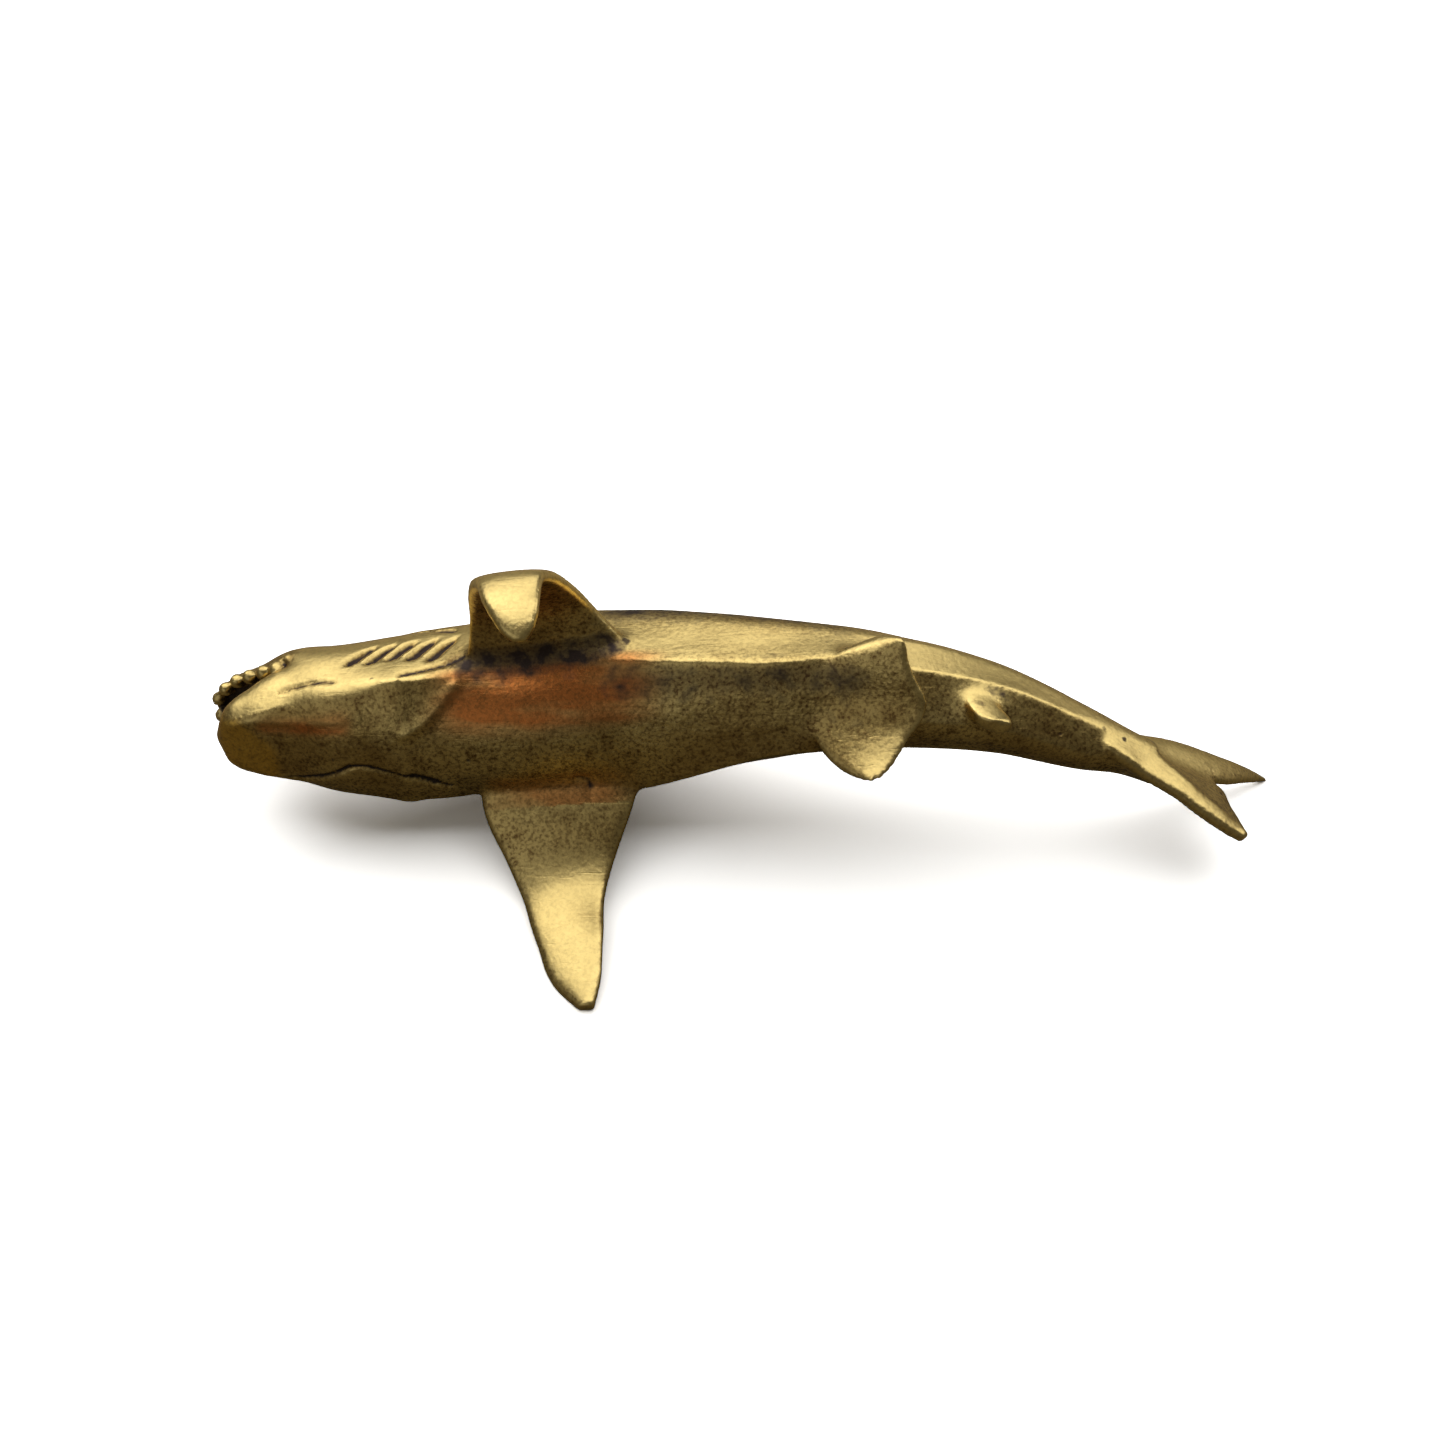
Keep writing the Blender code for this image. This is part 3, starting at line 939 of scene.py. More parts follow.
@dataclass(frozen=True)
class Tones:
    """Where the brass is worn, dark or tinted, and where light and shade are painted; each 0 to 1.

    Spans are in mm behind the snout or toward the belly, angles and their widths in degrees from
    the belly toward the left, and the up values are the height of the skin's outward direction.
    """

    patch_span: tuple = (16.5, 20.0, 31.0, 35.0)
    patch_angles: tuple = (2.0, 16.0, 50.0, 57.0)
    chin_span: tuple = (4.6, 6.4, 11.2, 12.6)
    chin_angle: tuple = (25.0, 7.0)
    chin_strength: float = 1.9
    root_span: tuple = (20.0, 22.0, 29.0, 33.0)
    root_angle: tuple = (-42.0, 12.0)
    root_strength: float = 0.7
    near_body: float = 1.25
    lip_end: tuple = (7.8, 6.9)
    lip_depth: tuple = (0.4, -0.2)
    chin_end: float = 6.3
    chin_slant: float = 2.8
    chin_slant_angles: tuple = (-10.0, 45.0)
    chin_soft: tuple = (0.5, -0.5)
    chin_depth: tuple = (-0.5, 0.8)
    mouth_length: float = 7.0
    mouth_rim: float = 4.7
    mouth_round: float = 0.6
    mouth_end: tuple = (9.0, 7.5)
    mouth_edge: tuple = (-0.75, -1.15)
    mouth_gap: tuple = (-2.9, -2.4, 1.2, 1.9)
    # Painted highlight on up-facing skin and painted reflection on the chin fade in over these heights of
    # the outward direction; marks, the upper jaw and red patches dull the highlight.
    lit_top_up: tuple = (0.70, 0.92)
    chin_reflection_up: tuple = (0.85, 0.6)
    mark_dulls: float = 1.8
    lip_dulls: float = 0.8
    blush_dulls: float = 0.7
    lip_dark: float = 0.3

    def blush(self, place: tuple) -> np.ndarray:
        """Where the brass has turned copper-red: a patch under the left side fin and two streaks.

        Args:
            place: Distances behind the snout, to the left and toward the belly, and the radii.

        Returns:
            How red each place is.
        """
        x, left, belly, radius = place
        off = off_belly(left, belly)
        near = np.hypot(left, belly) < self.near_body * radius
        patch = between(x / MM, self.patch_span) * between(off, self.patch_angles)
        chin = self.chin_strength * between(x / MM, self.chin_span) * bump(off, *self.chin_angle)
        root = self.root_strength * between(x / MM, self.root_span) * bump(off, *self.root_angle)
        return np.clip(patch + chin + root, 0, 1) * near

    def lip(self, x: np.ndarray, belly: np.ndarray) -> np.ndarray:
        """Where the upper jaw and its teeth lie, which are made darker, with less painted highlight."""
        return fade(x / MM, *self.lip_end) * fade(belly / MM, *self.lip_depth)

    def honey(self, x: np.ndarray, left: np.ndarray, belly: np.ndarray) -> np.ndarray:
        """Painted reflection: where the chin is made smooth and yellow, up to a slanting end."""
        end = self.chin_end - self.chin_slant * fade(off_belly(left, belly), *self.chin_slant_angles)
        return fade(x / MM - end, *self.chin_soft) * fade(belly / MM, *self.chin_depth)

    def mouth(self, x: np.ndarray, left: np.ndarray, belly: np.ndarray) -> np.ndarray:
        """Painted shade inside the mouth: where the skin lies between the jaws, inside a rim of half
        width 4.7 mm * share ** 0.6.

        Args:
            x: Distances behind the snout.
            left: Distances to the left.
            belly: Distances toward the belly.

        Returns:
            How far inside the mouth each place is.
        """
        share = np.clip(x / (self.mouth_length * MM), 0.001, 1.2)
        rim = self.mouth_rim * share**self.mouth_round
        inside = fade(x / MM, *self.mouth_end) * fade(np.abs(left) / MM - rim, *self.mouth_edge)
        return inside * between(belly / MM, self.mouth_gap)

    def table(self, place: tuple, up: np.ndarray, hollow: tuple, marks: tuple) -> dict:
        """Puts all tones together under the names that the finish reads.

        Args:
            place: Distances behind the snout, to the left and toward the belly, and the radii.
            up: The height of the skin's outward direction.
            hollow: How hollow and how proud the skin is.
            marks: How dark and how stained the relief makes it.

        Returns:
            One row of values for each name.
        """
        x, left, belly, _ = place
        recess, wear = hollow
        dark, stained = marks
        lip = self.lip(x, belly)
        blush = self.blush(place)
        shiny = (1 - recess) * (1 - np.minimum(self.mark_dulls * dark, 1))
        shiny = shiny * (1 - self.lip_dulls * lip) * (1 - self.blush_dulls * blush)
        return {
            # The relief's dark, added here, holds patina in slits and creases, painted shade at the left
            # fin's root and under the left edge, and painted dark reflection along the back and a fin tip.
            "recess": np.maximum(recess, dark) + self.lip_dark * lip,
            "wear": wear,
            "stain": stained,
            "blush": blush,
            # Painted shade inside the mouth.
            "mouth": self.mouth(x, left, belly),
            # Painted highlight: skin that faces up is made bright, less in hollows, marks, the upper jaw
            # and red patches.
            "rubbed": fade(up, *self.lit_top_up) * shiny,
            # Painted reflection: a yellow glow on the chin, stronger where it faces less up.
            "honey": self.honey(x, left, belly) * fade(up, *self.chin_reflection_up),
        }


def around_mean(values: np.ndarray, edges: np.ndarray) -> np.ndarray:
    """The mean of the values at each point's neighbours: their sum over their number.

    Args:
        values: One row for each point.
        edges: Pairs of point numbers.

    Returns:
        One row for each point.
    """
    count = len(values)
    near = np.bincount(edges.ravel(), minlength=count)
    total = np.empty_like(values)
    for axis in range(values.shape[1]):
        total[:, axis] = np.bincount(edges[:, 0], values[edges[:, 1], axis], count)
        total[:, axis] += np.bincount(edges[:, 1], values[edges[:, 0], axis], count)
    return total / np.maximum(near, 1)[:, None]


@dataclass
class Casting:
    """All forms melted into one skin, which then gets its relief and its tones."""

    line: MiddleLine
    relief: Relief
    tones: Tones
    origin: tuple = (40.116 * MM, -2.548 * MM, 0.113 * MM)
    voxel: float = 0.21 * MM
    soften_factor: float = 0.5
    soften_rounds: int = 2
    fillet_rounds: int = 40
    fillet_share: float = 0.9
    fillet_start: tuple = (9.0 * MM, 17.0 * MM)
    cheek_rounds: int = 60
    cheek_share: float = 0.6
    cheek_span: tuple = (6.6, 7.8, 12.0, 15.0)
    cheek_side: tuple = (2.4, 3.4)
    cheek_depth: tuple = (-3.0, -1.5)
    wobble_height: float = 0.06 * MM
    wobble_waves: int = 9
    wobble_lengths: tuple = (3.0 * MM, 8.0 * MM)
    hollow_rounds: int = 24
    hollow_share: float = 0.6
    hollow_depth: tuple = (0.02 * MM, 0.16 * MM)
    proud_height: tuple = (0.02 * MM, 0.18 * MM)

    def melt(self, forms: list) -> bpy.types.Object:
        """Joins the forms by a voxel remesh and softens the result.

        Args:
            forms: Closed forms that overlap one another.

        Returns:
            The one casting, linked to the scene.
        """
        faces, start = [], 0
        for form in forms:
            faces += (form.quads + start).tolist() + (form.fans + start).tolist()
            start += len(form.points)
        mesh = bpy.data.meshes.new(NODE + "_skin")
        mesh.from_pydata(np.vstack([form.points for form in forms]).tolist(), [], faces)
        casting = bpy.data.objects.new(NODE + "_casting", mesh)
        bpy.context.scene.collection.objects.link(casting)
        join = casting.modifiers.new("join", "REMESH")
        join.mode = "VOXEL"
        join.voxel_size = self.voxel
        soften = casting.modifiers.new("soften", "SMOOTH")
        soften.factor = self.soften_factor
        soften.iterations = self.soften_rounds
        graph = bpy.context.evaluated_depsgraph_get()
        melted = bpy.data.meshes.new_from_object(casting.evaluated_get(graph))
        casting.modifiers.clear()
        casting.data = melted
        return casting

    def finish(self, casting: bpy.types.Object) -> None:
        """Rounds the hollows, cuts the relief, sets the casting down and writes its tones.

        Args:
            casting: The melted casting, whose mesh is changed.
        """
        mesh = casting.data
        count = len(mesh.vertices)
        flat = np.empty(count * 3)
        mesh.vertices.foreach_get("co", flat)
        pairs = np.empty(len(mesh.edges) * 2, np.int32)
        mesh.edges.foreach_get("vertices", pairs)
        edges = pairs.reshape(-1, 2)
        points = self.fill(flat.reshape(-1, 3), mesh, edges)
        points = self.calm(points, edges)
        place = self.line.locate(points)
        depth, *marks = self.relief.apply(self.line, place)
        normals = self.normals(mesh, points)
        points = points + normals * (self.wobble(points) - depth)[:, None]
        hollow = self.hollows(points, mesh, edges)
        for name, values in self.tones.table(place, normals[:, 2], hollow, marks).items():
            mesh.attributes.new(name, "FLOAT", "POINT").data.foreach_set("value", values.astype(np.float32))
        low, high = (np.array(corner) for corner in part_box(NODE))
        points = np.clip(points - self.origin, low, high)
        mesh.vertices.foreach_set("co", points.ravel())
        mesh.polygons.foreach_set("use_smooth", np.ones(len(mesh.polygons), bool))
        mesh.update()

    def normals(self, mesh: bpy.types.Mesh, points: np.ndarray) -> np.ndarray:
        """Outward directions of the skin when its points are moved there.

        Args:
            mesh: The mesh, which keeps the points.
            points: The points.

        Returns:
            One direction for each point.
        """
        mesh.vertices.foreach_set("co", points.ravel())
        mesh.update()
        flat = np.empty(len(points) * 3)
        mesh.vertex_normals.foreach_get("vector", flat)
        return flat.reshape(-1, 3)

    def fill(self, points: np.ndarray, mesh: bpy.types.Mesh, edges: np.ndarray) -> np.ndarray:
        """Rounds the hollows as molten metal does: points only move outward, toward their neighbours.

        Args:
            points: The skin's points.
            mesh: The mesh.
            edges: Pairs of point numbers.

        Returns:
            The points with their hollows filled.
        """
        soft = fade(points[:, 0], *self.fillet_start) * self.fillet_share
        for _ in range(self.fillet_rounds):
            normals = self.normals(mesh, points)
            step = np.einsum("ij,ij->i", around_mean(points, edges) - points, normals)
            points = points + normals * (np.maximum(step, 0) * soft)[:, None]
        return points

    def calm(self, points: np.ndarray, edges: np.ndarray) -> np.ndarray:
        """Evens out the cheeks behind the mouth, where the jaws meet, toward the neighbours' mean.

        Args:
            points: The skin's points.
            edges: Pairs of point numbers.

        Returns:
            The evened points.
        """
        x, left, belly, _ = self.line.locate(points)
        cheek = between(x / MM, self.cheek_span) * fade(np.abs(left) / MM, *self.cheek_side)
        weight = self.cheek_share * (cheek * fade(belly / MM, *self.cheek_depth))[:, None]
        for _ in range(self.cheek_rounds):
            points = points + weight * (around_mean(points, edges) - points)
        return points

    def wobble(self, points: np.ndarray) -> np.ndarray:
        """The unevenness of a hand-modelled shape: a mean of sine waves 3 to 8 mm long.

        Args:
            points: The skin's points.

        Returns:
            How far each point moves outward.
        """
        rng = np.random.default_rng(7)
        ways = unit(rng.normal(size=(self.wobble_waves, 3)))
        ways = ways / rng.uniform(*self.wobble_lengths, (self.wobble_waves, 1))
        phase = rng.uniform(size=self.wobble_waves)
        return self.wobble_height * np.sin(2 * np.pi * (points @ ways.T + phase)).mean(1)

    def hollows(self, points: np.ndarray, mesh: bpy.types.Mesh, edges: np.ndarray) -> tuple:
        """How hollow and how proud each point is, each from 0 to 1.

        The skin is smoothed; where the smooth skin lies outside a point the point is in a hollow,
        and where it lies inside the point stands proud.

        Args:
            points: The skin's points.
            mesh: The mesh.
            edges: Pairs of point numbers.

        Returns:
            The hollows and the proud places.
        """
        normals = self.normals(mesh, points)
        smooth = points
        for _ in range(self.hollow_rounds):
            smooth = (1 - self.hollow_share) * smooth + self.hollow_share * around_mean(smooth, edges)
        depth = np.einsum("ij,ij->i", smooth - points, normals)
        return fade(depth, *self.hollow_depth), fade(-depth, *self.proud_height)


def linear(colour: str) -> tuple:
    """Turns an sRGB colour into linear values.

    Args:
        colour: The colour as # and six hex digits.

    Returns:
        Linear red, green and blue, and full alpha.
    """
    parts = np.array([int(colour[i:i + 2], 16) for i in (1, 3, 5)]) / 255
    value = np.where(parts <= 0.04045, parts / 12.92, ((parts + 0.055) / 1.055) ** 2.4)
    return (*(float(v) for v in value), 1.0)


def grey(value: float) -> tuple:
    """One linear value as red, green and blue, with full alpha."""
    return (value, value, value, 1.0)


# Settings that nodes share: a mix of colours and the place of its output, sums held between 0
# and 1, and relief that is sunk instead of raised.
MIX = {"data_type": "RGBA"}
MIXED = 2
PLUS = {"operation": "ADD", "use_clamp": True}
MINUS = {"operation": "SUBTRACT", "use_clamp": True}
TIMES = {"operation": "MULTIPLY", "use_clamp": True}
MOST = {"operation": "MAXIMUM", "use_clamp": True}
SUNK = {"invert": True}


def add(
    tree: bpy.types.NodeTree,
    kind: str,
    settings: dict | None = None,
    out: int | str = 0,
    **links: object,
) -> Socket:
    """Adds a node, gives it its settings and fills its sockets.

    Args:
        tree: The node tree.
        kind: The node's type name without the leading ShaderNode.
        settings: Properties of the node, and the two stops of a colour ramp, each a place and a
            linear colour.
        out: The place or name of the output that is wanted.
        links: Socket names, with _ for a blank or in<number> for a place in the list; each value
            is a constant or an output socket.

    Returns:
        The output socket.
    """
    node = tree.nodes.new("ShaderNode" + kind)
    for name, value in (settings or {}).items():
        if name != "stops":
            setattr(node, name, value)
            continue
        for element, (place, colour) in zip(node.color_ramp.elements, value):
            element.position = place
            element.color = colour
    for name, value in links.items():
        socket = node.inputs[int(name[2:])] if name[2:].isdigit() else node.inputs[name.replace("_", " ")]
        if isinstance(value, Socket):
            tree.links.new(value, socket)
        else:
            socket.default_value = value
    return node.outputs[out]


def stops(start: float, first: float, end: float, last: float) -> dict:
    """Settings of a grey ramp that runs from the first value at start to the last at end."""
    return {"stops": ((start, grey(first)), (end, grey(last)))}


@dataclass(frozen=True)
class Ground:
    """What each layer of the finish starts from.

    It holds the function that adds a node to the tree, the place on the object, the casting's
    tones and the noises, the last two by name.
    """

    put: partial
    where: Socket
    tone: dict
    noise: dict


@dataclass(frozen=True)
class BrassFinish:
    """Old cast brass, a yellow metal with a fine grainy skin from its mould.

    Touch has worn its proud edges bright and smooth, and smut and dark patina are left in its
    hollows. Skin that faces up is painted brighter as a painted highlight, the chin carries a painted
    reflection, and the mouth and some bands carry painted shade. Each noise has the size of its lumps
    in mm and its detail. Mould grain is finer than shows, so it is drawn about 0.2 mm wide.
    """

    # Bright brass; also the colour of the painted highlight on up-facing skin.
    bright: str = "#efd48a"
    dull: str = "#bb9d5c"
    copper: str = "#d68444"
    # The colour of the painted reflection on the chin.
    honey: str = "#e4b347"
    tarnish: str = "#775a32"
    # The colour of patina, and also of the painted shade and dark reflection drawn with it.
    patina: str = "#4a3f3a"
    rubbed_roughness: float = 0.28
    grain_roughness: float = 0.36
    patina_roughness: float = 0.6
    rough_grain: float = 0.5
    cloud: tuple = (4.0, 4.0)
    speck: tuple = (0.5, 3.0)
    grain: tuple = (0.22, 2.0)
    fine: tuple = (0.12, 3.0)
    streak: tuple = (1.1, 3.0)
    scratch: tuple = (0.16, 1.0)
    pits_per_mm: float = 0.55
    grain_height: float = 0.055 * MM
    speck_height: float = 0.02 * MM
    pit_depth: float = 0.1 * MM
    scratch_depth: float = 0.02 * MM

    def material(self) -> bpy.types.Material:
        """Builds the material from object coordinates and the casting's own tones.

        Returns:
            The material.
        """
        # Brass cast in a grainy mould and worn by hands: a broken yellow shine with dark hollows; the
        # shine on up-facing skin is painted highlight, the chin's glow painted reflection, the mouth's dark
        # painted shade.
        material = bpy.data.materials.new("brass_cast_aged")
        material.use_nodes = True
        tree = material.node_tree
        ground = self.ground(partial(add, tree))
        pits = self.pits(ground)
        worn_and_lit, bare_and_lit = self.cleaned(ground)
        dark = self.patina_and_shade(ground, pits)
        shader = tree.nodes["Principled BSDF"]
        shader.inputs["Metallic"].default_value = 1.0
        tree.links.new(self.colour(ground, worn_and_lit, bare_and_lit, dark), shader.inputs["Base Color"])
        tree.links.new(self.roughness(ground, dark), shader.inputs["Roughness"])
        tree.links.new(self.grainy(ground, bare_and_lit, pits), shader.inputs["Normal"])
        return material

    def ground(self, put: partial) -> Ground:
        """Reads the place, the tones and the noises that all layers share.

        Args:
            put: The function that adds a node to the tree.

        Returns:
            The ground.
        """
        where = put("TexCoord", out="Object")
        tones = ("recess", "wear", "stain", "blush", "mouth", "rubbed", "honey")
        tone = {name: put("Attribute", {"attribute_name": name}, "Fac") for name in tones}
        kinds = {"cloud": self.cloud, "speck": self.speck, "grain": self.grain, "fine": self.fine}
        noise = {name: put("TexNoise", Vector=where, **self.lumps(kind)) for name, kind in kinds.items()}
        along = put("Mapping", Vector=where, Scale=(0.22, 1.0, 1.0))
        slant = put("Mapping", Vector=where, Rotation=(0.2, 0.5, 0.35), Scale=(0.06, 1.0, 1.0))
        noise["streak"] = put("TexNoise", Vector=along, **self.lumps(self.streak))
        noise["scratch"] = put("TexNoise", Vector=slant, **self.lumps(self.scratch))
        return Ground(put, where, tone, noise)

    def lumps(self, kind: tuple) -> dict:
        """A noise's scale, 0.5 over the size of its lumps, and its detail."""
        size, detail = kind
        return {"Scale": 0.5 / (size * MM), "Detail": detail}

    def pits(self, ground: Ground) -> Socket:
        """Sparse casting pits, round and about a third of a millimetre wide.

        Args:
            ground: The ground.

        Returns:
            How deep in a pit each place is.
        """
        put = ground.put
        away = put("TexVoronoi", out="Distance", Vector=ground.where, Scale=self.pits_per_mm / MM)
        spot = put("ValToRGB", stops(0.05, 0.9, 0.12, 0.0), in0=away)
        some = put("ValToRGB", stops(0.80, 0.0, 0.84, 1.0), in0=away.node.outputs["Color"])
        return put("Math", TIMES, in0=spot, in1=some)

    def cleaned(self, ground: Ground) -> tuple:
        """Where the metal is worn bright, where the painted highlight lies, and where little smut stays on
        it.

        Args:
            ground: The ground.

        Returns:
            The worn edges with the painted highlight, and the places with little smut, among them the
            chin's painted reflection and the red patches.
        """
        put, tone = ground.put, ground.tone
        worn = put("Math", TIMES, in0=tone["wear"], in1=0.8)
        # Worn edges, and the painted highlight on up-facing skin.
        worn_and_lit = put("Math", MOST, in0=worn, in1=tone["rubbed"])
        # The chin's painted reflection also keeps little smut.
        yellow = put("Math", TIMES, in0=tone["honey"], in1=0.6)
        red = put("Math", TIMES, in0=tone["blush"], in1=0.55)
        bare_and_lit = put("Math", MOST, in0=worn_and_lit, in1=yellow)
        return worn_and_lit, put("Math", MOST, in0=bare_and_lit, in1=red)

    def patina_and_shade(self, ground: Ground, pits: Socket) -> Socket:
        """How dark the patina is: hollows, less where worn, pits and speckled stains, and painted shade
        in the mouth and in the shade bands that the recess tone carries.

        Args:
            ground: The ground.
            pits: The casting pits.

        Returns:
            The patina's share.
        """
        put, tone, speck = ground.put, ground.tone, ground.noise["speck"]
        specks = put("ValToRGB", stops(0.40, 0.0, 0.75, 0.27), in0=speck)
        spotted = put("Math", PLUS, in0=tone["recess"], in1=specks)
        worn = put("Math", TIMES, in0=tone["wear"], in1=0.4)
        spotted = put("Math", MINUS, in0=spotted, in1=worn)
        hollows = put("ValToRGB", stops(0.35, 0.0, 0.75, 1.0), in0=spotted)
        # Painted shade inside the mouth, in the patina colour.
        dark = put("Math", MOST, in0=hollows, in1=tone["mouth"])
        dark = put("Math", MOST, in0=dark, in1=pits)
        stained = put("Math", TIMES, in0=tone["stain"], in1=0.34)
        stained = put("Math", PLUS, in0=stained, in1=speck)
        return put("Math", MOST, in0=dark, in1=put("ValToRGB", stops(0.74, 0.0, 0.92, 0.9), in0=stained))

    def smut(self, ground: Ground, bare_and_lit: Socket) -> Socket:
        """The thin brown smut in the grain, thinned on worn and red places and under painted highlight and
        reflection.

        Args:
            ground: The ground.
            bare_and_lit: The bare places.

        Returns:
            The smut's share.
        """
        put, noise = ground.put, ground.noise
        fine = put("ValToRGB", stops(0.36, 0.7, 0.56, 0.0), in0=noise["fine"])
        specks = put("ValToRGB", stops(0.38, 0.3, 0.5, 0.0), in0=noise["speck"])
        kept = put("Math", MINUS, in0=1.0, in1=put("Math", TIMES, in0=bare_and_lit, in1=0.8))
        return put("Math", TIMES, in0=put("Math", PLUS, in0=fine, in1=specks), in1=kept)

    def colour(self, ground: Ground, worn_and_lit: Socket, bare_and_lit: Socket, dark: Socket) -> Socket:
        """Layers the colours: dull and bright metal in clouds, worn edges with painted highlight, red tint,
        painted chin reflection, smut, and patina with painted shade.

        Args:
            ground: The ground.
            worn_and_lit: The clean places.
            bare_and_lit: The bare places.
            dark: The patina's share.

        Returns:
            The colour of the metal.
        """
        put, tone = ground.put, ground.tone
        clouds = put("ValToRGB", stops(0.35, 0.0, 0.65, 1.0), in0=ground.noise["cloud"])
        streaks = put("ValToRGB", stops(0.36, 0.3, 0.58, 1.0), in0=ground.noise["streak"])
        layers = (
            # Bright metal on worn edges and as painted highlight on up-facing skin.
            (put("Math", TIMES, in0=worn_and_lit, in1=0.9), self.bright),
            (put("Math", TIMES, in0=tone["blush"], in1=streaks), self.copper),
            # Painted reflection on the chin.
            (put("Math", TIMES, in0=tone["honey"], in1=0.75), self.honey),
            (self.smut(ground, bare_and_lit), self.tarnish),
            # Patina in hollows, with painted shade and painted dark reflection in the same colour.
            (dark, self.patina),
        )
        metal = put("Mix", MIX, MIXED, in0=clouds, in6=linear(self.dull), in7=linear(self.bright))
        for share, colour in layers:
            metal = put("Mix", MIX, MIXED, in0=share, in6=metal, in7=linear(colour))
        return metal

    def roughness(self, ground: Ground, dark: Socket) -> Socket:
        """How rough the skin is: smoother where worn, rougher under patina and in the grain.

        Args:
            ground: The ground.
            dark: The patina's share.

        Returns:
            The roughness.
        """
        put = ground.put
        grain = put("ValToRGB", stops(0.3, 0.0, 0.8, 0.35), in0=ground.noise["grain"])
        ends = {"in6": grey(self.grain_roughness), "in7": grey(self.rubbed_roughness)}
        rough = put("Mix", MIX, MIXED, in0=ground.tone["wear"], **ends)
        rough = put("Mix", MIX, MIXED, in0=dark, in6=rough, in7=grey(self.patina_roughness))
        return put("Mix", MIX, MIXED, in0=grain, in6=rough, in7=grey(self.rough_grain))

    def grainy(self, ground: Ground, bare_and_lit: Socket, pits: Socket) -> Socket:
        """The fine relief of the skin: mould grain and specks, fainter where bare, pits, scratches.

        Args:
            ground: The ground.
            bare_and_lit: The bare places.
            pits: The casting pits.

        Returns:
            The direction of the skin.
        """
        put, noise = ground.put, ground.noise
        coarse = put("Math", MINUS, in0=1.0, in1=put("Math", TIMES, in0=bare_and_lit, in1=0.5))
        lines = put("ValToRGB", stops(0.62, 0.0, 0.68, 1.0), in0=noise["scratch"])
        skin_way = put("Bump", Strength=coarse, Distance=self.grain_height, Height=noise["grain"])
        layers = (
            ({}, coarse, self.speck_height, noise["speck"]),
            (SUNK, 0.6, self.pit_depth, pits),
            (SUNK, 0.25, self.scratch_depth, lines),
        )
        for way, strength, height, pattern in layers:
            links = {"Strength": strength, "Distance": height, "Height": pattern, "Normal": skin_way}
            skin_way = put("Bump", way, **links)
        return skin_way


@dataclass(frozen=True)
class SoftLight:
    """A soft rectangular light that faces the shark; its power is pi * area * brightness."""

    name: str
    place: tuple
    size: tuple
    brightness: float

    def build(self) -> bpy.types.Object:
        """Hangs the light in the scene.

        Returns:
            The light.
        """
        data = bpy.data.lights.new(self.name, "AREA")
        data.shape = "RECTANGLE"
        data.size, data.size_y = self.size
        data.energy = np.pi * self.size[0] * self.size[1] * self.brightness
        lamp = bpy.data.objects.new(self.name, data)
        lamp.location = self.place
        lamp.rotation_euler = (-Vector(self.place)).to_track_quat("-Z", "Y").to_euler()
        bpy.context.scene.collection.objects.link(lamp)
        return lamp


